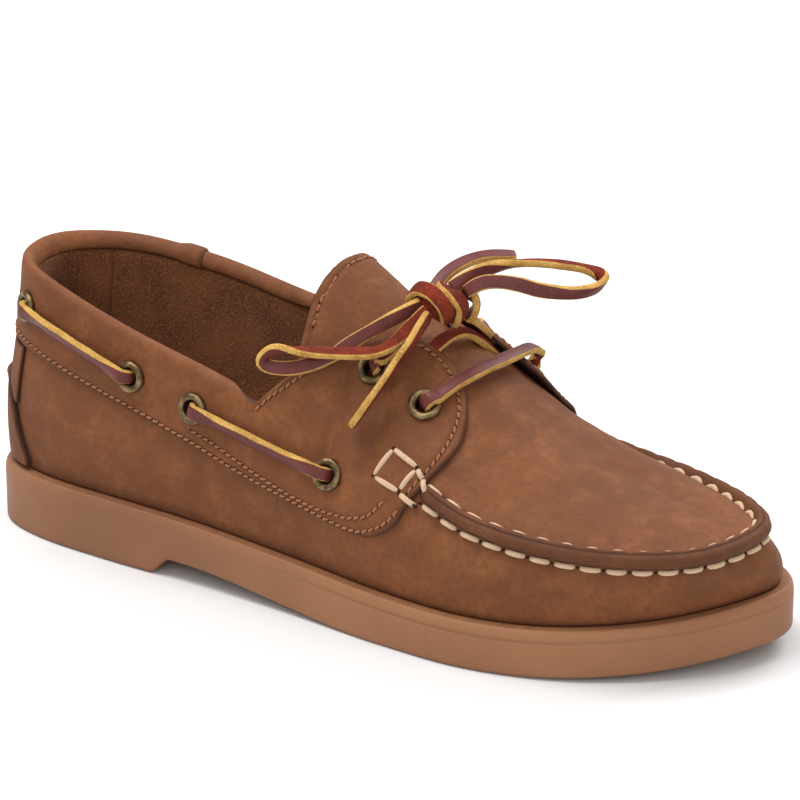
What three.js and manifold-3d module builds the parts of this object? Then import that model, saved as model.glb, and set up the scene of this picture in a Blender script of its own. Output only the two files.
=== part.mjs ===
// A boat shoe for the right foot, in millimetres: toe towards +X, inner (medial) side towards +Y, standing on Z = 0.
// A ring of stations runs round the sole, and at each station a rib climbs the side and, in front, crosses the instep.
// Every leather piece is cut from that one surface, at its own height above it.
import * as THREE from "three";
import { mergeVertices } from "three/addons/utils/BufferGeometryUtils.js";
import Module from "manifold-3d";

// Driving sizes
const SOLE_LENGTH = 300;
const BALL_WIDTH = 108;
const HEEL_COLLAR_HEIGHT = 99.5;
const TOE_BOX_HEIGHT = 42;
const INSTEP_HEIGHT = 90;
const INSTEP_ROUND = 2.2;
const HEEL_SOLE_HEIGHT = 22.5;
const FOREFOOT_SOLE_HEIGHT = 16.5;
const TOE_SPRING = 7;
const ARCH_RISE = 6.5;
const HEEL_BREAST = 80;
const BREAST_RUN = 9;
const ARCH_LENGTH = 85;
const RIM_LEDGE = 4.5;
const RIM_BEVEL = 4;
const RIM_BEVEL_WIDTH = 1.6;
const SOLE_EDGE_ROUND = 1.5;
const LEATHER = 2.2;
const OVERLAY = 1.7;
const GAP = 0.3;
const STEPS_PER_STATION = 4;
const ROWS_BELOW = 5;
const ROWS_ABOVE = 4;
const INSOLE_THICKNESS = 3;
const INSOLE_CLEARANCE = 0.8;
const ROLL_DEPTH = 8;
const ROLL_TURNS = 4;
const RIDGE_WIDTH = 5.5;
const RIDGE_HEIGHT = 2.6;
const RIDGE_RIM = 0.2;
const EYELET_OUTER = 11.2;
const EYELET_BORE = 6.2;
const EYELET_FLANGE = 1.3;
const EYELET_TUBE = 0.5;
const EYELET_SEAT = 0.75;
const EYELET_SIDES = 8;
const EYELET_HOLE_CLEARANCE = 0.3;
const LACE_WIDTH = 4.6;
const LACE_THICKNESS = 2.6;
const LACE_CORNER = 0.7;
const LACE_CLEARANCE = 0.5;
const LACE_STEP = 7.6;
const LACE_RUN_STEPS = 8;
const LACE_SINKS_FROM = 8;
const LACE_SINKS_TO = 17;
const THROAT_DROP = 1.9;
const TONGUE_THICKNESS = 2.4;
const TONGUE_LIFT = 7;
const TONGUE_SKEW = 0.12;
const TONGUE_RISE_FROM = 1.2;
const TONGUE_CLEARANCE = 1.9;
const TONGUE_FREE = 1.1;
const HEEL_PATCH = 2;
const HEEL_STRIP = 1.2;
const KNOT_HALF_SIZES = [12, 8, 6];
const KNOT_CENTRE = [28, -10, 106.3];
const KNOT_TILT = 0.5;
const KNOT_SIDES = 14;
const KNOT_RINGS = 8;
const JOINT_HALF = 0.02;
const SIDE_START = 0.42;
const SIDE_FINISH = 0.4;
const SIDE_LEAN = 2;
const ROLLED_FINISH = 0.5;
const TOE_SPRING_FROM = 0.72;
const RIM_SLOPE_FROM = 0.2;
const RIM_SLOPE_TO = 0.68;
const NEAR = 0.02;
const TINY = 1e-4;

// Stations round the sole, from the heel's back along the outer side to the toe and back along the inner side.
// sole: outline, x as a share of the length from the heel, y as a share of half the ball width.
// flare: how far the side leans out above the sole, in mm. roll: 0 upright at the top, 1 rolled over onto the instep.
// top: where the side ends, x and y as before, z as a share of the height from sole to collar.
const STATIONS = [
  { sole: [0, 0], flare: 3, roll: 0, top: [0.038, 0.02, 0.97] },
  { sole: [0.023, -0.38], flare: 3, roll: 0, top: [0.056, -0.3, 0.95] },
  { sole: [0.093, -0.585], flare: 3.5, roll: 0, top: [0.127, -0.52, 0.905] },
  { sole: [0.207, -0.69], flare: 4, roll: 0, top: [0.23, -0.61, 0.795] },
  { sole: [0.34, -0.755], flare: 4.5, roll: 0, top: [0.335, -0.64, 0.69] },
  { sole: [0.473, -0.85], flare: 5, roll: 0.7, top: [0.455, -0.7, 0.585] },
  { sole: [0.607, -0.975], flare: 4, roll: 0.9, top: [0.6, -0.79, 0.475] },
  { sole: [0.72, -1.015], flare: 3, roll: 0.45, top: [0.713, -0.89, 0.33] },
  { sole: [0.833, -0.86], flare: 2.5, roll: 0.2, top: [0.835, -0.8, 0.268] },
  { sole: [0.935, -0.47], flare: 2.5, roll: 0.2, top: [0.936, -0.48, 0.257] },
  { sole: [1, 0.13], flare: 2.5, roll: 0.2, top: [0.972, 0.04, 0.275] },
  { sole: [0.957, 0.6], flare: 2.5, roll: 0.2, top: [0.932, 0.34, 0.28] },
  { sole: [0.86, 0.85], flare: 2.5, roll: 0.2, top: [0.85, 0.57, 0.29] },
  { sole: [0.735, 0.96], flare: 3, roll: 0.45, top: [0.73, 0.7, 0.33] },
  { sole: [0.607, 0.9], flare: 4, roll: 0.9, top: [0.612, 0.72, 0.46] },
  { sole: [0.473, 0.745], flare: 5, roll: 0.7, top: [0.465, 0.66, 0.69] },
  { sole: [0.34, 0.65], flare: 4.5, roll: 0, top: [0.345, 0.6, 0.79] },
  { sole: [0.207, 0.63], flare: 4, roll: 0, top: [0.232, 0.57, 0.89] },
  { sole: [0.093, 0.555], flare: 3.5, roll: 0, top: [0.128, 0.48, 0.955] },
  { sole: [0.023, 0.36], flare: 3, roll: 0, top: [0.058, 0.3, 0.967] },
];
const RING = STATIONS.length;
const TOE = RING / 2;

// The line over the instep, one row a station from the throat forward: x and y as above,
// z as a share of the way from the toe box to the instep.
const SPINE = [
  { station: 4, at: [0.39, 0, 1.72] },
  { station: 5, at: [0.475, 0, 1.46] },
  { station: 6, at: [0.6, 0.02, 1.03] },
  { station: 7, at: [0.715, 0.02, 0.57] },
  { station: 8, at: [0.8, 0.03, 0.32] },
  { station: 9, at: [0.865, 0.02, 0.18] },
  { station: 10, at: [0.9, 0.02, 0.13] },
];

// The upper's top edge: station, counted from the heel on either side, and v there. At 2 the two sides meet.
const THROAT = [
  { station: 4.68, edge: 1 },
  { station: 5, edge: 1.17 },
  { station: 5.5, edge: 1.48 },
  { station: 5.75, edge: 1.68 },
  { station: 6, edge: 2 },
];

// The saddle, the collar band with its eyelet facing: lower and upper edge at each station.
const SADDLE = [
  { station: 0, low: 0.65, high: 1 },
  { station: 1, low: 0.65, high: 1 },
  { station: 2, low: 0.635, high: 1 },
  { station: 3, low: 0.605, high: 1 },
  { station: 4, low: 0.535, high: 1 },
  { station: 4.68, low: 0.49, high: 1 },
  { station: 5, low: 0.475, high: 1.16 },
  { station: 5.5, low: 0.44, high: 1.47 },
  { station: 5.75, low: 0.44, high: 1.66 },
  { station: 5.95, low: 0.5, high: 1.71 },
  { station: 6.15, low: 0.67, high: 1.7 },
  { station: 6.25, low: 0.85, high: 1.67 },
  { station: 6.35, low: 0.99, high: 1.62 },
  { station: 6.5, low: 1.165, high: 1.47 },
  { station: 6.56, low: 1.3, high: 1.34 },
];

// Where the pieces start and end on the ring.
const COLLAR_JOINT = 17.4;
const SADDLE_NOSE = 6.15;
const HEEL_PATCH_REACH = 1.7;
const HEEL_STRIP_REACH = 1.38;
const INNER_REACH_FROM = 4.68;
const INNER_REACH = 1.12;
const ROLL_DEEP = 3.9;
const ROLL_FULL = 4.25;
const ROLL_NONE = 4.68;
const RIDGE_START = 6.6;
const RIDGE_END = 6.85;
const TONGUE_END = 4.87;
const TONGUE_ROOT = 6.7;

// The tongue's side edge, as v, from its free end to its root.
const TONGUE_EDGE = [
  { station: 4.87, edge: 1.5 },
  { station: 4.89, edge: 1.25 },
  { station: 4.93, edge: 1.14 },
  { station: 5, edge: 1.06 },
  { station: 5.3, edge: 1.1 },
  { station: 5.7, edge: 1.2 },
  { station: 6.7, edge: 1.3 },
];

// The heel patch and the strip above it: where each ends, as v, at each station away from the heel's back.
const HEEL_PATCH_ROWS = [
  { station: 0, low: 0.02, high: 0.43 },
  { station: 0.6, low: 0.02, high: 0.41 },
  { station: 1, low: 0.02, high: 0.36 },
  { station: 1.2, low: 0.02, high: 0.31 },
  { station: 1.35, low: 0.02, high: 0.25 },
  { station: 1.46, low: 0.02, high: 0.18 },
  { station: 1.7, low: 0.02, high: 0.05 },
];
const HEEL_STRIP_ROWS = [
  { station: 0, low: 0.45, high: 0.63 },
  { station: 0.6, low: 0.43, high: 0.63 },
  { station: 1, low: 0.38, high: 0.63 },
  { station: 1.2, low: 0.33, high: 0.63 },
  { station: 1.38, low: 0.3, high: 0.635 },
];

// Eyelets on either side: two runs of the side lace, then the two at the throat.
const EYELETS = [
  { name: "side_1", station: 1.41, v: 0.86 },
  { name: "side_2", station: 3.17, v: 0.815 },
  { name: "side_3", station: 3.98, v: 0.795 },
  { name: "side_4", station: 5.49, v: 0.81 },
  { name: "throat_1", station: 5.62, v: 1.35 },
  { name: "throat_2", station: 6.12, v: 1.345 },
];

const clamp = THREE.MathUtils.clamp;
const lerp = THREE.MathUtils.lerp;
const smooth = THREE.MathUtils.smoothstep;
const alongX = (share) => (share - 0.5) * SOLE_LENGTH;
const acrossY = (share) => (share * BALL_WIDTH) / 2;

function spline(a, b, c, d, f) {
  return b + 0.5 * f * (c - a + f * (2 * a - 5 * b + 4 * c - d + f * (3 * (b - c) + d - a)));
}

// A value read from the ring of stations, at any position round it.
function ring(read, t) {
  const i = Math.floor(t);
  const v = [-1, 0, 1, 2].map((o) => read(STATIONS[(((i + o) % RING) + RING) % RING]));
  return spline(...v, t - i);
}

// A value read from a list of rows, at any position along it.
function along(rows, read, position) {
  const last = rows.length - 1;
  const p = clamp(position, 0, last);
  const i = Math.min(Math.floor(p), last - 1);
  const v = [-1, 0, 1, 2].map((o) => read(rows[clamp(i + o, 0, last)]));
  return spline(...v, p - i);
}

function toeSpring(x) {
  const run = SOLE_LENGTH * (1 - TOE_SPRING_FROM);
  return TOE_SPRING * clamp((x - alongX(TOE_SPRING_FROM)) / run, 0, 1) ** 2;
}

function soleTop(x) {
  const slope = smooth(x, alongX(RIM_SLOPE_FROM), alongX(RIM_SLOPE_TO));
  return lerp(HEEL_SOLE_HEIGHT, FOREFOOT_SOLE_HEIGHT, slope) + toeSpring(x);
}

// The sole's outline at ring position t, moved inwards by inset.
function outline(t, inset = 0) {
  const at = (s) => new THREE.Vector2(ring((r) => alongX(r.sole[0]), s), ring((r) => acrossY(r.sole[1]), s));
  const ahead = at(t + NEAR).sub(at(t - NEAR)).normalize();
  const inward = new THREE.Vector2(-ahead.y, ahead.x);
  return { point: at(t).addScaledVector(inward, inset), inward };
}

function spine(t) {
  const turned = ((t % RING) + RING) % RING;
  const k = turned > TOE ? RING - turned : turned;
  const position = k - SPINE[0].station;
  const [x, y, z] = [0, 1, 2].map((n) => along(SPINE, (r) => r.at[n], position));
  return new THREE.Vector3(alongX(x), acrossY(y), lerp(TOE_BOX_HEIGHT, INSTEP_HEIGHT, z));
}

// The upper's outer face: t round the ring, v from 0 at the sole to 1 at the top of the side and 2 on the instep line.
function face(t, v) {
  const { point, inward } = outline(t, RIM_LEDGE);
  const foot = new THREE.Vector3(point.x, point.y, soleTop(point.x) + GAP);
  const share = ring((r) => r.top[2], t);
  const top = new THREE.Vector3(
    ring((r) => alongX(r.top[0]), t),
    ring((r) => acrossY(r.top[1]), t),
    lerp(HEEL_SOLE_HEIGHT, HEEL_COLLAR_HEIGHT, share),
  );
  const roll = ring((r) => r.roll, t);
  const crest = spine(t);
  const over = crest.clone().sub(top);
  if (v > 1) {
    const q = v - 1;
    const z = top.z + over.z * (1 - (1 - q) ** INSTEP_ROUND);
    return new THREE.Vector3(top.x + over.x * q, top.y + over.y * q, z);
  }
  const rise = top.z - foot.z;
  const flare = ring((r) => r.flare, t);
  const start = new THREE.Vector3(-inward.x * flare, -inward.y * flare, rise * SIDE_START).add(foot);
  const upright = new THREE.Vector3(inward.x * SIDE_LEAN, inward.y * SIDE_LEAN, rise * SIDE_FINISH);
  const rolled = new THREE.Vector3(over.x, over.y, over.z * INSTEP_ROUND).setLength(rise * ROLLED_FINISH);
  const finish = top.clone().sub(upright.lerp(rolled, clamp(roll, 0, 1)));
  return new THREE.CubicBezierCurve3(foot, start, finish, top).getPoint(v);
}

// The outward direction of the upper's face. On the instep line it is the mean of the two sides' own.
function faceNormal(t, v) {
  const step = NEAR / 2;
  const normalAt = (s, w) => {
    const ahead = face(s + step, w).sub(face(s - step, w));
    return ahead.cross(face(s, Math.min(w + step, 2)).sub(face(s, Math.max(w - step, 0)))).normalize();
  };
  if (v < 2) return normalAt(t, v);
  const turned = ((t % RING) + RING) % RING;
  const station = Math.min(turned, RING - turned, TOE - 0.1);
  return normalAt(station, 2 - step).add(normalAt(RING - station, 2 - step)).normalize();
}

// A point off the upper's face, and the outward direction there.
function onFace(t, v, lift = 0) {
  const normal = faceNormal(t, v);
  return { point: face(t, v).addScaledVector(normal, lift), normal };
}

// Stations from the heel's back to ring position t, on its own side.
const fromHeel = (t) => {
  const turned = ((t % RING) + RING) % RING;
  return Math.min(turned, RING - turned);
};

// The same on the saddle, whose front reaches further forward on the inner side.
const onSaddle = (t) => {
  const station = fromHeel(t);
  const past = station - INNER_REACH_FROM;
  const inner = t > TOE && t < RING;
  return inner && past > 0 ? INNER_REACH_FROM + past / INNER_REACH : station;
};
const fromSaddle = (station, inner) => {
  const past = Math.max(station - INNER_REACH_FROM, 0);
  return inner ? RING - (station + past * (INNER_REACH - 1)) : station;
};

function column(rows, name, station) {
  const after = rows.findIndex((r) => r.station >= station);
  if (after === 0) return rows[0][name];
  if (after < 0) return rows[rows.length - 1][name];
  const [a, b] = [rows[after - 1], rows[after]];
  return lerp(a[name], b[name], (station - a.station) / (b.station - a.station));
}

const steps = (from, to, count) => Array.from({ length: count + 1 }, (_, i) => lerp(from, to, i / count));

const edgeOf = (t) => column(THROAT, "edge", fromHeel(t));
const ringPositions = steps(0, RING, RING * STEPS_PER_STATION).slice(0, -1);

// The lattice of ring positions between two places, with both places themselves.
function between(from, to) {
  const first = Math.ceil(from * STEPS_PER_STATION + 0.2);
  const last = Math.floor(to * STEPS_PER_STATION - 0.2);
  return [from, ...steps(first, last, last - first).map((n) => n / STEPS_PER_STATION), to];
}

// The rows of the upper's own grid at ring position t, held between two values of v, so that overlays follow its facets.
function rowsAt(t, low, high) {
  const rows = [...steps(0, 1, ROWS_BELOW), ...steps(0, 1, ROWS_ABOVE).slice(1).map((r) => 1 + r * (edgeOf(t) - 1))];
  return rows.map((v) => clamp(v, low, high));
}

// One closed body from vertices and triangles: equal points merged, slivers of no area dropped, faces turned outward.
function body(points, triangles) {
  const raw = new THREE.BufferGeometry().setFromPoints(points);
  raw.setIndex(triangles.flat());
  const merged = mergeVertices(raw, TINY);
  const index = Array.from(merged.index.array);
  const kept = [];
  for (let i = 0; i < index.length; i += 3) {
    const [a, b, c] = index.slice(i, i + 3);
    if (a !== b && b !== c && c !== a) kept.push(a, b, c);
  }
  const at = (n) => new THREE.Vector3().fromBufferAttribute(merged.attributes.position, n);
  let volume = 0;
  for (let i = 0; i < kept.length; i += 3) {
    volume += at(kept[i]).dot(at(kept[i + 1]).cross(at(kept[i + 2])));
  }
  if (volume < 0) kept.reverse();
  merged.setIndex(kept);
  return merged;
}

// A sheet between two grids of points, with a rim along each open border. skipRim leaves out a rim where it closes.
function sheet(outer, inner, { closed = false, skipRim = () => false } = {}) {
  const columns = outer.length;
  const rows = outer[0].length;
  const points = [...outer.flat(), ...inner.flat()];
  const out = (i, j) => (i % columns) * rows + j;
  const inn = (i, j) => out(i, j) + columns * rows;
  const triangles = [];
  const quad = (a, b, c, d) => triangles.push([a, b, c], [a, c, d]);
  const last = closed ? columns : columns - 1;
  for (let i = 0; i < last; i++) {
    for (let j = 0; j < rows - 1; j++) {
      quad(out(i, j), out(i + 1, j), out(i + 1, j + 1), out(i, j + 1));
      quad(inn(i, j), inn(i, j + 1), inn(i + 1, j + 1), inn(i + 1, j));
    }
    quad(out(i, 0), inn(i, 0), inn(i + 1, 0), out(i + 1, 0));
    const top = rows - 1;
    if (!skipRim(i)) quad(out(i, top), out(i + 1, top), inn(i + 1, top), inn(i, top));
  }
  if (!closed) {
    for (let j = 0; j < rows - 1; j++) {
      quad(out(0, j), out(0, j + 1), inn(0, j + 1), inn(0, j));
      const end = columns - 1;
      quad(out(end, j), inn(end, j), inn(end, j + 1), out(end, j + 1));
    }
  }
  return body(points, triangles);
}

// A slab from a stack of rings that all run round the sole the same way, closed across at the bottom and the top.
function stack(rings) {
  const count = rings[0].length;
  const half = count / 2;
  const triangles = [];
  rings.slice(1).forEach((_, k) => {
    for (let i = 0; i < count; i++) {
      const a = k * count + i;
      const b = k * count + ((i + 1) % count);
      triangles.push([a, b, b + count], [a, b + count, a + count]);
    }
  });
  const top = (rings.length - 1) * count;
  for (let i = 0; i < half; i++) {
    const far = (n) => (count - n) % count;
    triangles.push([i, far(i), far(i + 1)], [i, far(i + 1), i + 1]);
    triangles.push([top + i, top + i + 1, top + far(i + 1)], [top + i, top + far(i + 1), top + far(i)]);
  }
  return body(rings.flat(), triangles);
}

function soleBottom(x) {
  const breast = alongX(0) + HEEL_BREAST;
  const rise = smooth(x, breast, breast + BREAST_RUN) * ARCH_RISE;
  const fall = 1 - smooth(x, breast + BREAST_RUN, breast + BREAST_RUN + ARCH_LENGTH);
  return rise * fall + toeSpring(x);
}

function outsole() {
  const level = (inset, height) =>
    ringPositions.map((t) => {
      const { point } = outline(t, inset);
      return new THREE.Vector3(point.x, point.y, height(point.x));
    });
  return stack([
    level(SOLE_EDGE_ROUND, soleBottom),
    level(SOLE_EDGE_ROUND * 0.3, (x) => soleBottom(x) + SOLE_EDGE_ROUND * 0.3),
    level(0, (x) => soleBottom(x) + SOLE_EDGE_ROUND),
    level(0, (x) => soleTop(x) - RIM_BEVEL),
    level(RIM_BEVEL_WIDTH * 0.4, (x) => soleTop(x) - RIM_BEVEL * 0.4),
    level(RIM_BEVEL_WIDTH, soleTop),
  ]);
}

function insole() {
  const inset = RIM_LEDGE + LEATHER + INSOLE_CLEARANCE;
  const level = (lift) =>
    ringPositions.map((t) => {
      const { point } = outline(t, inset);
      return new THREE.Vector3(point.x, point.y, soleTop(point.x) + lift);
    });
  return stack([level(GAP), level(GAP + INSOLE_THICKNESS)]);
}

function upper() {
  const grid = (lift) => ringPositions.map((t) => rowsAt(t, 0, 2).map((v) => onFace(t, v, lift).point));
  const closedAt = (i) => edgeOf(ringPositions[i]) === 2 && edgeOf(ringPositions[i + 1]) === 2;
  return sheet(grid(0), grid(-LEATHER), { closed: true, skipRim: closedAt });
}

// A leather overlay on the upper, between two edges that a table gives, from one ring position to another.
function overlay(positions, rows, thickness) {
  const grid = (lift) =>
    positions.map((t) => {
      const [low, high] = ["low", "high"].map((name) => column(rows, name, fromHeel(t)));
      return rowsAt(t, low, high).map((v) => onFace(t, v, lift).point);
    });
  return sheet(grid(GAP + thickness), grid(GAP));
}

// The saddle folds over the upper's top edge and down inside it, as far as the throat's corner.
function saddle(positions) {
  const middle = -LEATHER / 2;
  const turns = steps(0, 1, ROLL_TURNS);
  const grid = (radius) =>
    positions.map((t) => {
      const station = onSaddle(t);
      const low = column(SADDLE, "low", station);
      const high = column(SADDLE, "high", station);
      const fold = Math.PI * (1 - clamp((station - ROLL_FULL) / (ROLL_NONE - ROLL_FULL), 0, 1));
      const depth = ROLL_DEPTH * (1 - smooth(station, ROLL_DEEP, ROLL_FULL));
      const leg = rowsAt(t, low, high).map((v) => onFace(t, v, middle + radius).point);
      const { point, normal } = onFace(t, high, middle);
      const up = onFace(t, high, middle).point.sub(onFace(t, high - NEAR, middle).point).normalize();
      const place = (angle, drop) =>
        point
          .clone()
          .addScaledVector(normal, Math.cos(angle) * radius)
          .addScaledVector(up, Math.sin(angle) * radius - drop);
      const arc = turns.slice(1).map((s) => place(s * fold, 0));
      const inside = place(fold, depth);
      return [...leg, ...arc, inside];
    });
  return sheet(grid(LEATHER / 2 + GAP + OVERLAY), grid(LEATHER / 2 + GAP));
}

// The tongue lies under the upper and lifts off towards its free end.
function tongue() {
  const across = steps(-1, 1, 10);
  const ends = steps(TONGUE_END, TONGUE_END + 0.24, 3);
  const stations = [...ends, ...steps(TONGUE_END + 0.4, TONGUE_ROOT, 7)];
  const grid = (depth) =>
    stations.map((station) =>
      across.map((w) => {
        const edge = column(TONGUE_EDGE, "edge", station);
        const v = 2 - Math.abs(w) * (2 - edge);
        const free = (1 - smooth(station, TONGUE_END, TONGUE_END + TONGUE_FREE)) * smooth(v, TONGUE_RISE_FROM, 2);
        const lift = free * TONGUE_LIFT - LEATHER - TONGUE_CLEARANCE - depth;
        const turned = station + (TONGUE_SKEW * (1 + w) * (TONGUE_ROOT - station)) / (TONGUE_ROOT - TONGUE_END) / 2;
        return onFace(w < 0 ? turned : RING - turned, v, lift).point;
      }),
    );
  return sheet(grid(0), grid(TONGUE_THICKNESS));
}

// The rolled ridge of the moccasin seam, round the toe.
function ridge() {
  const positions = between(RIDGE_START, RING - RIDGE_END);
  const section = [
    { side: -0.5, height: 0 },
    { side: -0.4, height: 0.8 },
    { side: 0, height: 1 },
    { side: 0.4, height: 0.6 },
    { side: 0.5, height: 0 },
  ];
  const grid = (tall) =>
    positions.map((t) => {
      const below = face(t, 1).distanceTo(face(t, 1 - NEAR)) / NEAR;
      const above = face(t, 1).distanceTo(face(t, 1 + NEAR)) / NEAR;
      return section.map(({ side, height }) => {
        const reach = side * RIDGE_WIDTH;
        const v = 1 + reach / (side < 0 ? below : above);
        return onFace(t, v, GAP + (tall ? lerp(RIDGE_RIM, 1, height) * RIDGE_HEIGHT : 0)).point;
      });
    });
  return sheet(grid(true), grid(false));
}

const wasm = await Module();
wasm.setup();

function toManifold(geometry) {
  const mesh = new wasm.Mesh({
    numProp: 3,
    vertProperties: new Float32Array(geometry.attributes.position.array),
    triVerts: new Uint32Array(geometry.index.array),
  });
  return new wasm.Manifold(mesh);
}

function fromManifold(manifold) {
  const { vertProperties, triVerts } = manifold.getMesh();
  const geometry = new THREE.BufferGeometry();
  geometry.setAttribute("position", new THREE.BufferAttribute(vertProperties, 3));
  geometry.setIndex(new THREE.BufferAttribute(triVerts, 1));
  return geometry;
}

// The places of the eyelets on one side: on the saddle's face, with their axis along its normal.
function eyeletSeats(inner) {
  return EYELETS.map(({ name, station, v }) => {
    const t = fromSaddle(station, inner);
    const { point, normal } = onFace(t, v, GAP + OVERLAY);
    return { name: `eyelet_${inner ? "inner" : "outer"}_${name}`, t, v, point, normal };
  });
}

function turnTo(geometry, { point, normal }) {
  const turn = new THREE.Quaternion().setFromUnitVectors(new THREE.Vector3(0, 1, 0), normal);
  return geometry.applyQuaternion(turn).translate(point.x, point.y, point.z);
}

function eyelet(seat) {
  const bore = EYELET_BORE / 2;
  const tube = bore + EYELET_TUBE;
  const rim = EYELET_OUTER / 2;
  const depth = OVERLAY + GAP + LEATHER;
  const profile = [
    [bore, -depth],
    [tube, -depth],
    [tube, EYELET_SEAT],
    [rim, EYELET_SEAT],
    [(rim + bore) / 2, EYELET_SEAT + EYELET_FLANGE],
    [bore, EYELET_SEAT + EYELET_FLANGE * 0.4],
    [bore, -depth],
  ];
  const turned = new THREE.LatheGeometry(profile.map((p) => new THREE.Vector2(...p)), EYELET_SIDES);
  return turnTo(closed(turned), seat);
}

// A geometry with a round hole through it at each seat.
function drilled(geometry, seats) {
  const radius = EYELET_BORE / 2 + EYELET_TUBE + EYELET_HOLE_CLEARANCE;
  let solid = toManifold(geometry);
  seats.forEach((seat) => {
    const pin = new THREE.CylinderGeometry(radius, radius, EYELET_OUTER * 2, EYELET_SIDES);
    pin.deleteAttribute("normal").deleteAttribute("uv");
    solid = solid.subtract(toManifold(turnTo(mergeVertices(pin, TINY), seat)));
  });
  return fromManifold(solid);
}

// A run of flat lace over the leather, from above one eyelet to above another, lying lower past their flanges by drop.
function laceRun(route, drop) {
  const over = OVERLAY + GAP + EYELET_SEAT + EYELET_FLANGE + LACE_CLEARANCE + LACE_THICKNESS / 2;
  const count = LACE_RUN_STEPS;
  const span = onFace(...route(0)).point.distanceTo(onFace(...route(1)).point);
  const samples = steps(0, 1, count).map((s) => {
    const fromEnd = Math.min(s, 1 - s) * span;
    return onFace(...route(s), over - drop * smooth(fromEnd, LACE_SINKS_FROM, LACE_SINKS_TO));
  });
  const grid = (lift) =>
    samples.map(({ point, normal }, n) => {
      const ahead = samples[Math.min(n + 1, count)].point.clone().sub(samples[Math.max(n - 1, 0)].point);
      const across = ahead.cross(normal).normalize();
      return [-0.5, 0.5].map((side) =>
        point
          .clone()
          .addScaledVector(across, side * LACE_WIDTH)
          .addScaledVector(normal, lift),
      );
    });
  return sheet(grid(LACE_THICKNESS / 2), grid(-LACE_THICKNESS / 2));
}

const sideRun = (from, to) => laceRun((s) => [lerp(from.t, to.t, s), lerp(from.v, to.v, s)], EYELET_FLANGE);

// A run over the throat: up one side, across the line over the instep, and down the other.
const throatRun = (from, to) =>
  laceRun((s) => {
    const half = s < 0.5 ? from : to;
    const q = 1 - Math.abs(2 * s - 1);
    const level = (from.t + RING - to.t) / 2;
    const station = lerp(half === from ? from.t : RING - to.t, level, q);
    return [half === from ? station : RING - station, lerp(half.v, 2, q)];
  }, THROAT_DROP);

// The free lengths of the lace, a flat cord along points chosen by hand, in mm. They come out of the knot.
const LACE_LOOP_OUTER = [
  [25, -14.4, 107.4], [20.4, -18.3, 104.3], [15.3, -21.4, 100.9], [7, -26.3, 95], [0.1, -31.4, 89.4],
  [-8.7, -36.2, 85.8], [-16.3, -39, 85], [-20.3, -40.7, 86.5], [-19.4, -40.2, 89.5], [-15.2, -38.7, 91.6],
  [-3.6, -36.2, 91.9], [8.7, -33.6, 92.8], [17.5, -31.1, 94.1], [22.9, -27.9, 97.2], [26, -23.6, 101.6],
  [29.2, -17.8, 106.7],
];
const LACE_TAIL_OUTER = [
  [30, -18.5, 105.3], [29.6, -23.2, 102.1], [28.4, -27.6, 97.7], [26.2, -32.3, 92.5], [23.8, -36, 87],
  [19.5, -39.8, 79.4], [14.9, -42.7, 71.4],
];
const LACE_LOOP_INNER = [
  [32.2, -7.1, 111.8], [36.5, -2, 115.2], [42.1, 4.6, 117.4], [49.8, 10.7, 118.3], [58.8, 15.7, 118],
  [68.6, 19.6, 116.7], [74.6, 19.8, 114.7], [74.3, 16.1, 112.2], [69.1, 10.2, 111.2], [60.4, 4.4, 112.2],
  [53.6, 0.2, 114.4], [47.2, -3.1, 115.3], [42.5, -6.1, 114.6], [38.6, -8.4, 111.8],
];
const LACE_TAIL_INNER = [
  [26.5, -8.5, 110.5], [27.4, -2, 114.4], [30.7, 5.3, 117.1], [35.5, 11.6, 118.2], [42.4, 18.4, 117.6],
];

function cord(points, grown = 0) {
  const curve = new THREE.CatmullRomCurve3(points.map((p) => new THREE.Vector3(...p)));
  const [w, h] = [LACE_WIDTH / 2 + grown, LACE_THICKNESS / 2 + grown];
  const corner = LACE_CORNER;
  const section = new THREE.Shape(
    [
      [w, h - corner], [w - corner, h], [corner - w, h], [-w, h - corner],
      [-w, corner - h], [corner - w, -h], [w - corner, -h], [w, corner - h],
    ].map((p) => new THREE.Vector2(...p)),
  );
  const count = Math.round(curve.getLength() / LACE_STEP);
  const geometry = new THREE.ExtrudeGeometry(section, { steps: count, extrudePath: curve, bevelEnabled: false });
  return outside(closed(geometry), knot(GAP));
}

// Any closed three.js geometry, its shared vertices merged.
function closed(geometry) {
  geometry.deleteAttribute("normal").deleteAttribute("uv");
  const merged = mergeVertices(geometry, TINY);
  const { position } = merged.attributes;
  const points = Array.from({ length: position.count }, (_, n) => new THREE.Vector3().fromBufferAttribute(position, n));
  const index = Array.from(merged.index.array);
  const triangles = [];
  for (let i = 0; i < index.length; i += 3) triangles.push(index.slice(i, i + 3));
  return body(points, triangles);
}

function knot(grown = 0) {
  const ball = closed(new THREE.SphereGeometry(1, KNOT_SIDES, KNOT_RINGS));
  return ball.scale(...KNOT_HALF_SIZES.map((half) => half + grown)).rotateY(KNOT_TILT).translate(...KNOT_CENTRE);
}

// The largest part of a geometry that lies outside another.
function outside(geometry, core) {
  const parts = toManifold(geometry).subtract(toManifold(core)).decompose();
  return fromManifold(parts.sort((a, b) => b.volume() - a.volume())[0]);
}

const leather = { color: 0x8a5840, roughness: 0.75, metalness: 0 };
const suede = { color: 0x5c3c26, roughness: 0.95, metalness: 0 };
const gum = { color: 0x9a6f50, roughness: 0.6, metalness: 0 };
const brass = { color: 0x8a7a60, roughness: 0.4, metalness: 0.9 };
const rawhide = { color: 0x6e3a32, roughness: 0.8, metalness: 0 };

// The group stands with its origin under the middle of the sole.
const group = new THREE.Group();
const sides = ringPositions.map((t) => outline(t).point.y);
group.position.y = -(Math.min(...sides) + Math.max(...sides)) / 2;

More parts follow.
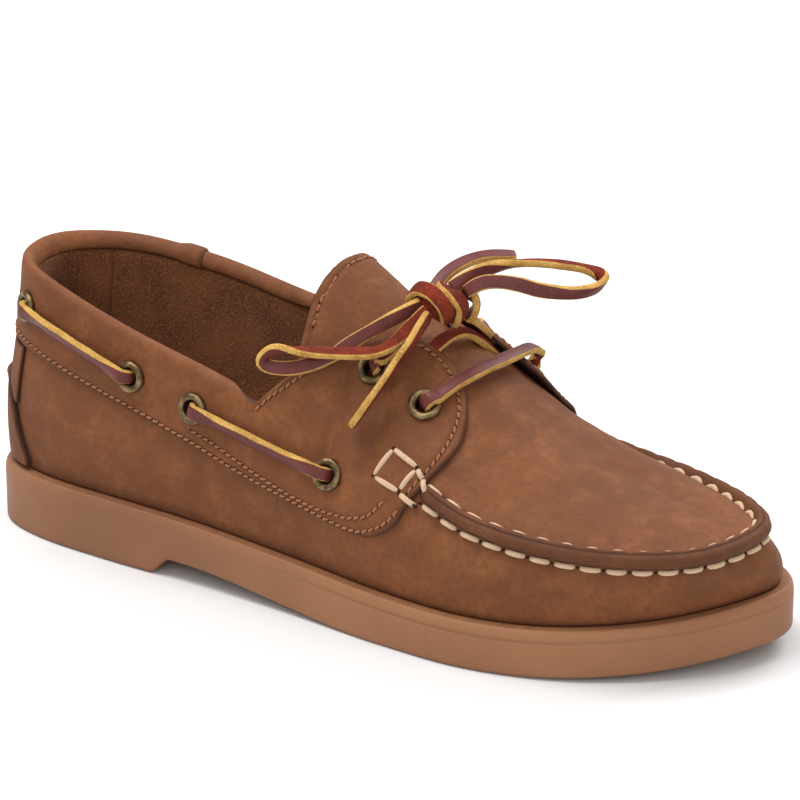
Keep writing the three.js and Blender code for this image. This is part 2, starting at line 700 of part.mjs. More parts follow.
function add(name, geometry, finish) {
  geometry.computeVertexNormals();
  const mesh = new THREE.Mesh(geometry, new THREE.MeshStandardMaterial(finish));
  mesh.name = name;
  group.add(mesh);
}

const seats = [...eyeletSeats(false), ...eyeletSeats(true)];
const seatOf = (name) => seats.find((seat) => seat.name === `eyelet_${name}`);
const saddlePositions = between(COLLAR_JOINT - RING + JOINT_HALF, SADDLE_NOSE);
const noseOuter = SADDLE.map((row) => row.station).filter((station) => station > SADDLE_NOSE);
const noseInner = noseOuter.map((station) => fromSaddle(station, true)).reverse();
const innerPositions = between(fromSaddle(SADDLE_NOSE, true), COLLAR_JOINT - JOINT_HALF);

add("outsole", outsole(), gum);
add("insole", insole(), suede);
add("upper", drilled(upper(), seats), leather);
add("tongue", tongue(), leather);
add("saddle_outer", drilled(saddle([...saddlePositions, ...noseOuter]), seats), leather);
add("saddle_inner", drilled(saddle([...noseInner, ...innerPositions]), seats), leather);
add("moc_seam_ridge", ridge(), leather);
add("heel_patch", overlay(between(-HEEL_PATCH_REACH, HEEL_PATCH_REACH), HEEL_PATCH_ROWS, HEEL_PATCH), leather);
add("heel_strip", overlay(between(-HEEL_STRIP_REACH, HEEL_STRIP_REACH), HEEL_STRIP_ROWS, HEEL_STRIP), leather);
seats.forEach((seat) => add(seat.name, eyelet(seat), brass));
["outer", "inner"].forEach((side) => {
  add(`lace_side_${side}_rear`, sideRun(seatOf(`${side}_side_1`), seatOf(`${side}_side_2`)), rawhide);
  add(`lace_side_${side}_front`, sideRun(seatOf(`${side}_side_3`), seatOf(`${side}_side_4`)), rawhide);
});
const aroundLoop = cord(LACE_LOOP_OUTER, GAP);
const rearCrossing = throatRun(seatOf("outer_throat_1"), seatOf("inner_throat_1"));
add("lace_crossing_rear", outside(rearCrossing, aroundLoop), rawhide);
add("lace_crossing_front", throatRun(seatOf("outer_throat_2"), seatOf("inner_throat_2")), rawhide);
add("lace_knot", knot(), rawhide);
add("lace_loop_outer", cord(LACE_LOOP_OUTER), rawhide);
add("lace_tail_outer", outside(cord(LACE_TAIL_OUTER), aroundLoop), rawhide);
add("lace_loop_inner", cord(LACE_LOOP_INNER), rawhide);
add("lace_tail_inner", cord(LACE_TAIL_INNER), rawhide);

export default group;
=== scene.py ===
"""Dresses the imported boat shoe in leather, suede, gum rubber, aged brass, thread and rawhide.

Last works out the upper's one surface in millimetres, from the same tables as the solids, and each
leather piece lies at its own height above it. Each sub-assembly is a class that holds its sizes and
builds its meshes in metres.
"""
import logging
import math
from collections.abc import Sequence
from dataclasses import dataclass, field
from enum import Enum

import bmesh
import bpy
import numpy as np
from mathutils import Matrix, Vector
from mathutils.kdtree import KDTree


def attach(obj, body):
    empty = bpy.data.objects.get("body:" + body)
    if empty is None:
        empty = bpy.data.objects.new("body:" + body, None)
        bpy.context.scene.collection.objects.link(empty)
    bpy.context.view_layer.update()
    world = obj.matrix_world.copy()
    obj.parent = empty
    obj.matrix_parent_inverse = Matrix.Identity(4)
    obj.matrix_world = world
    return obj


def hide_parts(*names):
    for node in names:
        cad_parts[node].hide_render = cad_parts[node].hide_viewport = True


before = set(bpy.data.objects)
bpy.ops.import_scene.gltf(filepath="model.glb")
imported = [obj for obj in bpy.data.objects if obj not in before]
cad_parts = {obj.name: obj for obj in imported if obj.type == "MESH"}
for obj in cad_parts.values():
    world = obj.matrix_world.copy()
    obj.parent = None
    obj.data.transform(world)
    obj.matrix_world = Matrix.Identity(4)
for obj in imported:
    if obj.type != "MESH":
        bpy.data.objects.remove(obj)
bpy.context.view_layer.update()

MM = 0.001
SEED = 7
Array = np.ndarray
log = logging.getLogger("boat_shoe")


@dataclass(frozen=True)
class Station:
    """One rib of the shoe, as shares of the sole's length, half the ball width and the collar's height.

    sole is the outline, flare how far the side leans out above it in mm, roll how far the side's top turns
    over onto the instep, and top where the side ends.
    """

    sole: tuple[float, float]
    flare: float
    roll: float
    top: tuple[float, float, float]


STATIONS = (
    Station((0, 0), 3, 0, (0.038, 0.02, 0.97)),
    Station((0.023, -0.38), 3, 0, (0.056, -0.3, 0.95)),
    Station((0.093, -0.585), 3.5, 0, (0.127, -0.52, 0.905)),
    Station((0.207, -0.69), 4, 0, (0.23, -0.61, 0.795)),
    Station((0.34, -0.755), 4.5, 0, (0.335, -0.64, 0.69)),
    Station((0.473, -0.85), 5, 0.7, (0.455, -0.7, 0.585)),
    Station((0.607, -0.975), 4, 0.9, (0.6, -0.79, 0.475)),
    Station((0.72, -1.015), 3, 0.45, (0.713, -0.89, 0.33)),
    Station((0.833, -0.86), 2.5, 0.2, (0.835, -0.8, 0.268)),
    Station((0.935, -0.47), 2.5, 0.2, (0.936, -0.48, 0.257)),
    Station((1, 0.13), 2.5, 0.2, (0.972, 0.04, 0.275)),
    Station((0.957, 0.6), 2.5, 0.2, (0.932, 0.34, 0.28)),
    Station((0.86, 0.85), 2.5, 0.2, (0.85, 0.57, 0.29)),
    Station((0.735, 0.96), 3, 0.45, (0.73, 0.7, 0.33)),
    Station((0.607, 0.9), 4, 0.9, (0.612, 0.72, 0.46)),
    Station((0.473, 0.745), 5, 0.7, (0.465, 0.66, 0.69)),
    Station((0.34, 0.65), 4.5, 0, (0.345, 0.6, 0.79)),
    Station((0.207, 0.63), 4, 0, (0.232, 0.57, 0.89)),
    Station((0.093, 0.555), 3.5, 0, (0.128, 0.48, 0.955)),
    Station((0.023, 0.36), 3, 0, (0.058, 0.3, 0.967)),
)
RING = len(STATIONS)
TOE = RING / 2

# The line over the instep from the throat forward: shares of the length, of the half width, and of
# the rise from toe box to instep.
SPINE_FROM = 4
SPINE = (
    (0.39, 0, 1.72),
    (0.475, 0, 1.46),
    (0.6, 0.02, 1.03),
    (0.715, 0.02, 0.57),
    (0.8, 0.03, 0.32),
    (0.865, 0.02, 0.18),
    (0.9, 0.02, 0.13),
)


@dataclass(frozen=True)
class ShoeSizes:
    """The driving sizes of the shoe, in millimetres, the same as the solids'.

    The four that end in from, to or run are shares of the sole's length.
    """

    length: float = 300
    ball_width: float = 108
    collar_height: float = 99.5
    toe_box_height: float = 42
    instep_height: float = 90
    instep_round: float = 2.2
    heel_sole: float = 22.5
    forefoot_sole: float = 16.5
    toe_spring: float = 7
    spring_from: float = 0.72
    spring_run: float = 0.28
    wedge_from: float = 0.2
    wedge_to: float = 0.68
    arch_rise: float = 6.5
    heel_breast: float = 80
    breast_run: float = 9
    arch_length: float = 85
    rim_ledge: float = 4.5
    leather: float = 2.2
    overlay: float = 1.7
    gap: float = 0.3

    @property
    def facing(self) -> float:
        """The height of the saddle's outer face above the upper's."""
        return self.gap + self.overlay


def spline(a: Array, b: Array, c: Array, d: Array, f: Array) -> Array:
    """A value between b and c on the smooth curve through a, b, c and d.

    Args:
        a: The value before b.
        b: The value at share 0.
        c: The value at share 1.
        d: The value after c.
        f: The share of the way from b to c.

    Returns:
        The value there.
    """
    return b + 0.5 * f * (c - a + f * (2 * a - 5 * b + 4 * c - d + f * (3 * (b - c) + d - a)))


def smooth(x: Array, low: float, high: float) -> Array:
    """0 below low, 1 above high, and a smooth rise between them."""
    s = np.clip((x - low) / (high - low), 0, 1)
    return s * s * (3 - 2 * s)


def widened(values: Array | float) -> Array:
    """Numbers with one more axis, so that they multiply points."""
    return np.expand_dims(np.asarray(values, float), -1)


def unit(vectors: Array) -> Array:
    """The same directions at length one."""
    return vectors / np.maximum(np.linalg.norm(vectors, axis=-1, keepdims=True), 1e-12)


def length(vectors: Array) -> Array:
    """The vectors' lengths."""
    return np.linalg.norm(vectors, axis=-1)


def run_of(line: Array) -> Array:
    """How far along a line each of its points lies."""
    return np.concatenate([[0], length(np.diff(line, axis=0)).cumsum()])


def read_at(places: Array, run: Array, rows: Array) -> Array:
    """Rows of numbers, given at each place of a run, read at other places between them."""
    return np.stack([np.interp(places, run, rows[:, axis]) for axis in range(rows.shape[1])], -1)


def bell(distance: Array, width: float) -> Array:
    """1 at distance 0, falling smoothly to either side over a width."""
    return np.exp(-((distance / width) ** 2))


class Last:
    """The one surface that every leather piece is cut from, in millimetres, with the sole's outline below it.

    t runs round the ring of stations from the heel's back along the outer side, and v from 0 at the sole
    to 1 at the top of the side and 2 on the line over the instep. The handles are shares of the side's
    rise that bend its curve, at its foot, at its top, and at its top where it turns over.
    """

    FOOT_HANDLE = 0.42
    TOP_HANDLE = 0.4
    TOP_LEAN = 2
    ROLLED_HANDLE = 0.5
    OUTLINE_STEP = 0.02
    FACE_STEP = 0.01
    RIB_STEP = 0.05

    def __init__(self, sizes: ShoeSizes) -> None:
        """Reads the tables in millimetres and centres the shoe across its width.

        Args:
            sizes: The shoe's driving sizes.
        """
        self.sizes = sizes
        self.sole = np.array([s.sole for s in STATIONS], float)
        self.tops = np.array([s.top for s in STATIONS], float)
        self.flare = np.array([s.flare for s in STATIONS], float)
        self.roll = np.array([s.roll for s in STATIONS], float)
        self.crest = np.array(SPINE, float)
        self.shift = 0.0
        across = self.outline(np.arange(0, RING, 0.25))[0][..., 1]
        self.shift = -(across.min() + across.max()) / 2

    def along_x(self, share: Array) -> Array:
        """Millimetres along the sole at a share of its length."""
        return (share - 0.5) * self.sizes.length

    def across_y(self, share: Array) -> Array:
        """Millimetres across the sole at a share of half the ball width."""
        return share * self.sizes.ball_width / 2 + self.shift

    def ring(self, values: Array, t: Array) -> Array:
        """A station value read smoothly at any place round the ring.

        Args:
            values: One value for each station.
            t: Places round the ring.

        Returns:
            The values there.
        """
        i = np.floor(t).astype(int)
        near = [values[(i + offset) % RING] for offset in (-1, 0, 1, 2)]
        return spline(*near, t - i)

    def toe_spring(self, x: Array) -> Array:
        """How far the toe's lift has raised the sole at x."""
        share = (x - self.along_x(self.sizes.spring_from)) / (self.sizes.length * self.sizes.spring_run)
        return self.sizes.toe_spring * np.clip(share, 0, 1) ** 2

    def sole_top(self, x: Array) -> Array:
        """The height of the sole's rim at x."""
        sizes = self.sizes
        share = smooth(x, self.along_x(sizes.wedge_from), self.along_x(sizes.wedge_to))
        return sizes.heel_sole + share * (sizes.forefoot_sole - sizes.heel_sole) + self.toe_spring(x)

    def sole_bottom(self, x: Array) -> Array:
        """The height of the sole's underside at x, with the heel's breast and the arch."""
        breast = self.along_x(0) + self.sizes.heel_breast
        arch = breast + self.sizes.breast_run
        rise = smooth(x, breast, arch) * self.sizes.arch_rise
        return rise * (1 - smooth(x, arch, arch + self.sizes.arch_length)) + self.toe_spring(x)

    def outline(self, t: Array, inset: float = 0) -> tuple[Array, Array]:
        """The sole's outline moved inwards.

        Args:
            t: Places round the ring.
            inset: How far inwards, in mm.

        Returns:
            The points, x and y, and the inward directions.
        """
        def at(s: Array) -> Array:
            """The outline's own points."""
            x = self.along_x(self.ring(self.sole[:, 0], s))
            return np.stack([x, self.across_y(self.ring(self.sole[:, 1], s))], -1)

        t = np.asarray(t, float)
        ahead = unit(at(t + self.OUTLINE_STEP) - at(t - self.OUTLINE_STEP))
        inward = np.stack([-ahead[..., 1], ahead[..., 0]], -1)
        return at(t) + inward * widened(inset), inward

    def spine(self, t: Array) -> Array:
        """The point of the line over the instep that the rib at t ends on."""
        position = np.clip(station_of(t) - SPINE_FROM, 0, len(SPINE) - 1)
        i = np.minimum(np.floor(position).astype(int), len(SPINE) - 2)
        near = [self.crest[np.clip(i + offset, 0, len(SPINE) - 1)] for offset in (-1, 0, 1, 2)]
        x, y, z = np.moveaxis(spline(*near, widened(position - i)), -1, 0)
        rise = self.sizes.instep_height - self.sizes.toe_box_height
        return np.stack([self.along_x(x), self.across_y(y), self.sizes.toe_box_height + z * rise], -1)

    def face(self, t: Array, v: Array) -> Array:
        """Points of the upper's outer face.

        Args:
            t: Places round the ring.
            v: Heights on the rib.

        Returns:
            The points, in mm.
        """
        t, v = np.broadcast_arrays(np.asarray(t, float), np.asarray(v, float))
        point, inward = self.outline(t, self.sizes.rim_ledge)
        foot = np.concatenate([point, widened(self.sole_top(point[..., 0]) + self.sizes.gap)], -1)
        x, y, share = (self.ring(values, t) for values in self.tops.T)
        height = self.sizes.heel_sole + share * (self.sizes.collar_height - self.sizes.heel_sole)
        top = np.stack([self.along_x(x), self.across_y(y), height], -1)
        over = self.spine(t) - top
        rise = widened(top[..., 2] - foot[..., 2])
        roll = np.clip(widened(self.ring(self.roll, t)), 0, 1)
        lean = -inward * widened(self.ring(self.flare, t))
        start = foot + np.concatenate([lean, rise * self.FOOT_HANDLE], -1)
        upright = np.concatenate([inward * self.TOP_LEAN, rise * self.TOP_HANDLE], -1)
        rolled = unit(over * [1, 1, self.sizes.instep_round]) * rise * self.ROLLED_HANDLE
        finish = top - (upright * (1 - roll) + rolled * roll)
        s = widened(np.clip(v, 0, 1))
        side = foot * (1 - s) ** 3 + 3 * start * s * (1 - s) ** 2 + 3 * finish * s * s * (1 - s) + top * s**3
        q = np.clip(v - 1, 0, 1)
        climb = np.stack([q, q, 1 - (1 - q) ** self.sizes.instep_round], -1)
        return np.where(np.expand_dims(v > 1, -1), top + over * climb, side)

    def normal(self, t: Array, v: Array) -> Array:
        """The outward directions of the upper's face. On the instep line both sides share one.

        Args:
            t: Places round the ring.
            v: Heights on the rib.

        Returns:
            The directions.
        """
        step = self.FACE_STEP

        def one_side(s: Array, w: Array) -> Array:
            """The direction from one side's own rib."""
            ahead = self.face(s + step, w) - self.face(s - step, w)
            up = self.face(s, np.minimum(w + step, 2)) - self.face(s, np.maximum(w - step, 0))
            return unit(np.cross(ahead, up))

        t, v = np.broadcast_arrays(np.asarray(t, float), np.asarray(v, float))
        level = np.minimum(station_of(t), TOE - 0.1)
        below = np.full(t.shape, 2 - step)
        crest = unit(one_side(level, below) + one_side(RING - level, below))
        return np.where(np.expand_dims(v < 2, -1), one_side(t, np.minimum(v, 2)), crest)

    def lifted(self, t: Array, v: Array, lift: Array) -> Array:
        """Points at a height above the upper's face, in mm."""
        return self.face(t, v) + self.normal(t, v) * widened(lift)

    def rib_scale(self, t: Array, way: int) -> Array:
        """Millimetres to a unit of height by the top of the side, below it (-1) or above it (1)."""
        return length(self.face(t, 1.0) - self.face(t, 1 + way * self.RIB_STEP)) / self.RIB_STEP

    def strip(self, place: Array, low: Array, high: Array, count: int) -> tuple[Array, Array, Array]:
        """A strip's lattice between two heights at each column, closer together by its edges.

        Args:
            place: Ring places, by column.
            low: Its lower heights.
            high: Its upper heights.
            count: How many rows lie between those by the edges.

        Returns:
            Ring places, heights, and mm below the upper edge.
        """
        width = length(self.face(place, high) - self.face(place, low))
        share = graded(width, count)
        v = low[:, None] + (high - low)[:, None] * share
        return np.broadcast_to(place[:, None], v.shape), v, (1 - share) * width[:, None]


def station_of(t: Array) -> Array:
    """Stations from the heel's back to t, on its own side."""
    turned = np.mod(t, RING)
    return np.minimum(turned, RING - turned)


class Socket:
    """An output of a node. Arithmetic on it adds Math nodes to its tree."""

    def __init__(self, graph: "Graph", output: bpy.types.NodeSocket) -> None:
        """Keeps the graph and the output that stand for this value."""
        self.graph = graph
        self.output = output

    def __add__(self, other: "Socket | float") -> "Socket":
        """The sum."""
        return self.graph.math("ADD", self, other)

    __radd__ = __add__

    def __sub__(self, other: "Socket | float") -> "Socket":
        """The difference."""
        return self.graph.math("SUBTRACT", self, other)

    def __rsub__(self, other: float) -> "Socket":
        """A number less this value."""
        return self.graph.math("SUBTRACT", other, self)

    def __mul__(self, other: "Socket | float") -> "Socket":
        """The product."""
        return self.graph.math("MULTIPLY", self, other)

    __rmul__ = __mul__

    def __pow__(self, other: float) -> "Socket":
        """The power."""
        return self.graph.math("POWER", self, other)


Value = Socket | float
Colour = tuple[float, float, float]


def linear(colour: Colour) -> tuple[float, float, float, float]:
    """A colour given as the eye sees it, 0 to 255, as the shader's linear one."""
    shares = [c / 255 for c in colour]
    return (*[s / 12.92 if s <= 0.04045 else ((s + 0.055) / 1.055) ** 2.4 for s in shares], 1.0)


def by_name(sockets: Sequence[bpy.types.NodeSocket]) -> dict[int | str, bpy.types.NodeSocket]:
    """A node's inputs or outputs by their numbers, names and identifiers."""
    found = dict(enumerate(sockets))
    found.update({socket.name: socket for socket in reversed(list(sockets))})
    return {**found, **{socket.identifier: socket for socket in sockets}}


class Graph:
    """A node tree under construction."""

    def __init__(self, tree: bpy.types.NodeTree) -> None:
        """Keeps the tree."""
        self.tree = tree

    def node(self, kind: str, settings: dict, sockets: dict, output: int | str = 0) -> Socket:
        """Adds a node.

        Args:
            kind: The node's type.
            settings: Its properties, set before its sockets.
            sockets: Values or links of its inputs, by number, name or identifier.
            output: The output that is wanted.

        Returns:
            That output.
        """
        made = self.tree.nodes.new(kind)
        for name, value in settings.items():
            setattr(made, name, value)
        inputs = by_name(made.inputs)
        for name, value in sockets.items():
            self.feed(inputs[name], value)
        return Socket(self, by_name(made.outputs)[output])

    def feed(self, target: bpy.types.NodeSocket, value: object) -> None:
        """Links a socket or sets its constant."""
        if isinstance(value, Socket):
            self.tree.links.new(value.output, target)
        else:
            target.default_value = value

    def math(self, operation: str, first: Value, second: Value) -> Socket:
        """A Math node of two values."""
        return self.node("ShaderNodeMath", {"operation": operation}, {0: first, 1: second})


class Paint(Graph):
    """A material under construction, and one method for each kind of node that it uses."""

    def __init__(self, name: str) -> None:
        """Starts a material with one Principled shader.

        Args:
            name: The material's name.
        """
        self.material = bpy.data.materials.new(name)
        self.material.use_nodes = True
        super().__init__(self.material.node_tree)
        self.tree.nodes.clear()
        self.shader = self.tree.nodes.new("ShaderNodeBsdfPrincipled")
        output = self.tree.nodes.new("ShaderNodeOutputMaterial")
        self.tree.links.new(self.shader.outputs["BSDF"], output.inputs["Surface"])
        self.place = self.node("ShaderNodeTexCoord", {}, {}, "Object")

    def noise(self, scale: float, detail: float) -> Socket:
        """Cloudy noise about 0.5, of so many clouds in a metre with so many finer layers on it."""
        sockets = {"Vector": self.place, "Scale": scale, "Detail": detail}
        return self.node("ShaderNodeTexNoise", {}, sockets, "Fac")

    def cells(self, scale: float) -> Socket:
        """The distance pattern of scattered cells, as on grained leather."""
        return self.node("ShaderNodeTexVoronoi", {}, {"Vector": self.place, "Scale": scale}, "Distance")

    def ramp(self, value: Socket, low: float, high: float) -> Socket:
        """0 where a value is under low, 1 where it is over high, and smooth between."""
        settings = {"interpolation_type": "SMOOTHSTEP"}
        sockets = {"Value": value, "From Min": low, "From Max": high}
        return self.node("ShaderNodeMapRange", settings, sockets, "Result")

    def wear_and_shade(self) -> Socket:
        """How burnished the mesh says that it is at its points, with painted shade in creases, sewn grooves
        and corners added in.
        """
        return self.node("ShaderNodeAttribute", {"attribute_name": "wear_and_shade"}, {}, "Fac")

    def cloud(self, scale: float, detail: float, low: float = 0.3, high: float = 0.7) -> Socket:
        """Noise as soft patches, 0 where it is under low and 1 over high."""
        return self.ramp(self.noise(scale, detail), low, high)

    def mix(self, share: Value, first: "Socket | Colour", second: "Socket | Colour") -> Socket:
        """A colour between two, each a socket or a colour as the eye sees it."""
        ends = [end if isinstance(end, Socket) else linear(end) for end in (first, second)]
        sockets = {"Factor_Float": share, "A_Color": ends[0], "B_Color": ends[1]}
        return self.node("ShaderNodeMix", {"data_type": "RGBA"}, sockets, "Result_Color")

    def rough(self, middle: float, scale: float, detail: float, reach: float = 0.2) -> Socket:
        """A roughness that varies about its middle."""
        return middle + (self.noise(scale, detail) - 0.5) * reach

    def bump(self, height: Socket, depth: float, normal: Socket | None = None) -> Socket:
        """Raises and sinks the look of the surface.

        Args:
            height: 0 to 1.
            depth: What a height of 1 stands for, in metres.
            normal: A bump that this one lies on.

        Returns:
            The normal.
        """
        sockets = {"Height": height, "Distance": depth, "Strength": 1.0}
        if normal is not None:
            sockets["Normal"] = normal
        return self.node("ShaderNodeBump", {}, sockets, "Normal")

    def finish(self, **sockets: "Value | Colour") -> bpy.types.Material:
        """Feeds the shader, by its sockets' names with _ for spaces, and gives the material."""
        for name, value in sockets.items():
            self.feed(self.shader.inputs[name.replace("_", " ")], value)
        return self.material


@dataclass(frozen=True)
class PullUpLeather:
    """Oiled leather, paler where it is stretched, darker where rubbing or a cut edge has burnished it, and
    darker still where painted shade lies in creases, sewn grooves and along the foot of the wall.
    """

    name: str = "pull_up_leather"
    body: Colour = (120, 71, 39)
    pale: Colour = (133, 81, 46)
    deep: Colour = (102, 59, 33)
    burnished: Colour = (60, 33, 20)
    roughness: float = 0.7
    patchy: float = 0.7
    flecked: float = 0.55
    grain: float = 0.00007
    wrinkle: float = 0.0005

    def make(self) -> bpy.types.Material:
        """Builds the material."""
        paint = Paint(self.name)
        colour = paint.mix(paint.cloud(26, 9), self.deep, self.body)
        colour = paint.mix(paint.cloud(110, 10, 0.4, 0.75) * self.patchy, colour, self.pale)
        colour = paint.mix(paint.cloud(480, 8, 0.42, 0.66) * self.flecked, colour, self.deep)
        # Darker where the mesh marks rubbed edges, and painted shade in its creases, sewn grooves and along
        # its foot.
        colour = paint.mix(paint.wear_and_shade(), colour, self.burnished)
        grain = paint.bump(paint.cells(1500), self.grain)
        wrinkle = paint.bump(paint.noise(260, 8), self.wrinkle, grain)
        rough = paint.rough(self.roughness, 140, 3)
        return paint.finish(Base_Color=colour, Roughness=rough, Normal=wrinkle, Specular_IOR_Level=0.24)


@dataclass(frozen=True)
class Suede:
    """Napped leather, with short fibres that catch the light."""

    name: str
    body: Colour
    pale: Colour
    deep: Colour
    nap: float = 0.0005

    def make(self) -> bpy.types.Material:
        """Builds the material."""
        paint = Paint(self.name)
        fibre = paint.noise(1600, 6)
        colour = paint.mix(paint.cloud(60, 4), self.deep, self.body)
        colour = paint.mix(paint.ramp(fibre, 0.45, 0.72), colour, self.pale)
        # Darker on rubbed ridges and edges, and painted shade by the insole's rim.
        colour = paint.mix(paint.wear_and_shade(), colour, self.deep)
        nap = paint.bump(fibre * 0.6 + paint.noise(600, 4) * 0.4, self.nap)
        return paint.finish(Base_Color=colour, Roughness=0.95, Normal=nap, Specular_IOR_Level=0.15,
                            Sheen_Weight=0.08, Sheen_Roughness=0.6)


@dataclass(frozen=True)
class GumRubber:
    """Matt crepe-coloured rubber, dusty, with painted shade in the moulding line's groove and darker along
    the lowest few millimetres of its wall.
    """

    name: str = "gum_rubber"
    body: Colour = (130, 86, 58)
    pale: Colour = (150, 102, 68)
    deep: Colour = (100, 64, 42)
    roughness: float = 0.55
    specked: float = 0.3
    texture: float = 0.0001

    def make(self) -> bpy.types.Material:
        """Builds the material."""
        paint = Paint(self.name)
        colour = paint.mix(paint.cloud(14, 3), self.body, self.pale)
        colour = paint.mix(paint.cloud(1200, 3, 0.55, 0.8) * self.specked, colour, self.deep)
        # Darker where the mesh marks it: painted shade in the moulding line's groove, and a darkening along
        # the wall's foot.
        colour = paint.mix(paint.wear_and_shade(), colour, self.deep)
        matt = paint.bump(paint.noise(700, 4), self.texture)
        rough = paint.rough(self.roughness, 90, 4)
        return paint.finish(Base_Color=colour, Roughness=rough, Normal=matt, Specular_IOR_Level=0.35)


@dataclass(frozen=True)
class AgedBrass:
    """Brass that has dulled to a brown grey, brighter on its rubbed rim."""

    name: str = "antique_brass"
    bright: Colour = (158, 134, 96)
    dull: Colour = (90, 73, 50)

    def make(self) -> bpy.types.Material:
        """Builds the material."""
        paint = Paint(self.name)
        stain = paint.cloud(420, 5, 0.35, 0.7)
        colour = paint.mix(stain, self.dull, self.bright)
        colour = paint.mix(paint.wear_and_shade(), colour, self.dull)
        return paint.finish(Base_Color=colour, Metallic=0.9, Roughness=0.4 + stain * 0.14,
                            Normal=paint.bump(paint.noise(900, 3), 0.00004))


@dataclass(frozen=True)
class Rawhide:
    """One side of the lace: its smooth grain, its cut edge or its red suede back."""

    name: str
    body: Colour
    pale: Colour
    deep: Colour
    roughness: float
    fibre: float

    def make(self) -> bpy.types.Material:
        """Builds the material."""
        paint = Paint(self.name)
        fine = paint.noise(1500, 6)
        colour = paint.mix(paint.cloud(150, 4), self.deep, self.body)
        colour = paint.mix(paint.ramp(fine, 0.48, 0.75), colour, self.pale)
        return paint.finish(Base_Color=colour, Roughness=self.roughness, Specular_IOR_Level=0.3,
                            Normal=paint.bump(fine, self.fibre))


@dataclass(frozen=True)
class Thread:
    """Twisted sewing thread."""

    name: str
    body: Colour
    deep: Colour
    ply: float

    def make(self) -> bpy.types.Material:
        """Builds the material."""
        paint = Paint(self.name)
        turns = paint.node("ShaderNodeTexWave", {"bands_direction": "DIAGONAL"},
                           {"Vector": paint.place, "Scale": self.ply, "Distortion": 1.0}, "Fac")
        fuzz = paint.noise(2500, 3)
        colour = paint.mix(paint.ramp(turns, 0.1, 0.6), self.deep, self.body)
        return paint.finish(Base_Color=colour, Roughness=0.8, Specular_IOR_Level=0.25,
                            Normal=paint.bump(turns * 0.7 + fuzz * 0.3, 0.00015))


class Finishes:
    """Every material of the shoe, made once."""

    def __init__(self) -> None:
        """Builds the materials."""
        self.leather = PullUpLeather().make()
        self.lining = Suede("suede_lining", (122, 74, 43), (150, 98, 60), (90, 52, 30)).make()
        self.sock = Suede("suede_insole", (108, 72, 48), (140, 102, 72), (78, 50, 32)).make()
        self.cut_edge = Suede("cut_edge", (78, 42, 26), (106, 62, 38), (50, 27, 17), 0.0003).make()
        self.gum = GumRubber().make()
        self.brass = AgedBrass().make()
        self.hide = [self.leather, self.lining, self.cut_edge]
        grain = Rawhide("rawhide_grain", (102, 45, 40), (108, 52, 46), (86, 36, 32), 0.45, 0.00005).make()
        edge = Rawhide("rawhide_edge", (198, 156, 80), (216, 180, 104), (164, 118, 56), 0.85, 0.0004).make()
        back = Rawhide("rawhide_back", (124, 42, 19), (142, 56, 28), (86, 25, 12), 0.95, 0.0005).make()
        self.lace = [grain, edge, back]
        self.cream = Thread("waxed_thread", (220, 190, 158), (190, 156, 124), 900).make()
        self.tan = Thread("sewing_thread", (172, 116, 82), (140, 88, 60), 900).make()
        # Painted shade: dark dots that stand for the shade in the needle holes between stitches.
        self.hole_shade = Thread("needle_hole_shade", (52, 28, 18), (38, 20, 13), 600).make()
        floor = linear((226, 226, 226))
        self.floor = Paint("studio_floor").finish(Base_Color=floor, Roughness=0.9, Specular_IOR_Level=0.1)


MERGE = 2e-6


@dataclass
class Net:
    """Lattices of points, in millimetres, gathered into one mesh with a material number for each face."""

    points: list[Array] = field(default_factory=list)
    wear_and_shade: list[Array] = field(default_factory=list)
    faces: list[Array] = field(default_factory=list)
    finish: list[Array] = field(default_factory=list)
    count: int = 0

    def add(self, points: Array, wear_and_shade: Array | float = 0.0) -> Array:
        """Adds points.

        Args:
            points: The points, in any lattice.
            wear_and_shade: How burnished the leather is there, with painted shade added in, 0 to 1.

        Returns:
            The points' numbers, in the same lattice.
        """
        shape = points.shape[:-1]
        number = self.count + np.arange(math.prod(shape)).reshape(shape)
        self.points.append(points.reshape(-1, 3))
        self.wear_and_shade.append(np.broadcast_to(wear_and_shade, shape).reshape(-1))
        self.count += number.size
        return number

    def join(self, number: Array, finish: Array | int = 0) -> None:
        """Joins neighbouring points of a lattice by quads.

        Args:
            number: The points' numbers, by column and row.
            finish: The material's number, for all faces or for each row.
        """
        corners = np.stack([number[:-1, :-1], number[1:, :-1], number[1:, 1:], number[:-1, 1:]], -1)
        self.faces.append(corners.reshape(-1, 4))
        self.finish.append(np.broadcast_to(finish, corners.shape[:2]).reshape(-1))

    def cap(self, loop: Array, finish: int = 0) -> None:
        """Closes an even loop of points by quads across it."""
        half = len(loop) // 2
        self.join(np.stack([loop[:half], loop[::-1][:half]], 1), finish)

    def build(self, name: str, materials: Sequence[bpy.types.Material]) -> bpy.types.Object:
        """Makes the mesh, merged, closed and facing outwards, as an object at the origin.

        Args:
            name: The piece's name.
            materials: Its materials, in the order of their numbers.

        Returns:
            The object.
        """
        mesh = bpy.data.meshes.new(name)
        mesh.from_pydata((np.concatenate(self.points) * MM).tolist(), [], np.concatenate(self.faces).tolist())
        mesh.polygons.foreach_set("material_index", np.concatenate(self.finish).astype(np.int32))
        worn = mesh.attributes.new("wear_and_shade", "FLOAT", "POINT")
        worn.data.foreach_set("value", np.concatenate(self.wear_and_shade).astype(np.float32))
        shape = bmesh.new()
        shape.from_mesh(mesh)
        bmesh.ops.remove_doubles(shape, verts=shape.verts, dist=MERGE)
        bmesh.ops.recalc_face_normals(shape, faces=shape.faces)
        shape.to_mesh(mesh)
        shape.free()
        mesh.shade_smooth()
        for material in materials:
            mesh.materials.append(material)
        return in_scene(name, mesh)


def in_scene(name: str, data: bpy.types.ID) -> bpy.types.Object:
    """An object of a mesh, camera or light in the scene."""
    made = bpy.data.objects.new(name, data)
    bpy.context.scene.collection.objects.link(made)
    return made


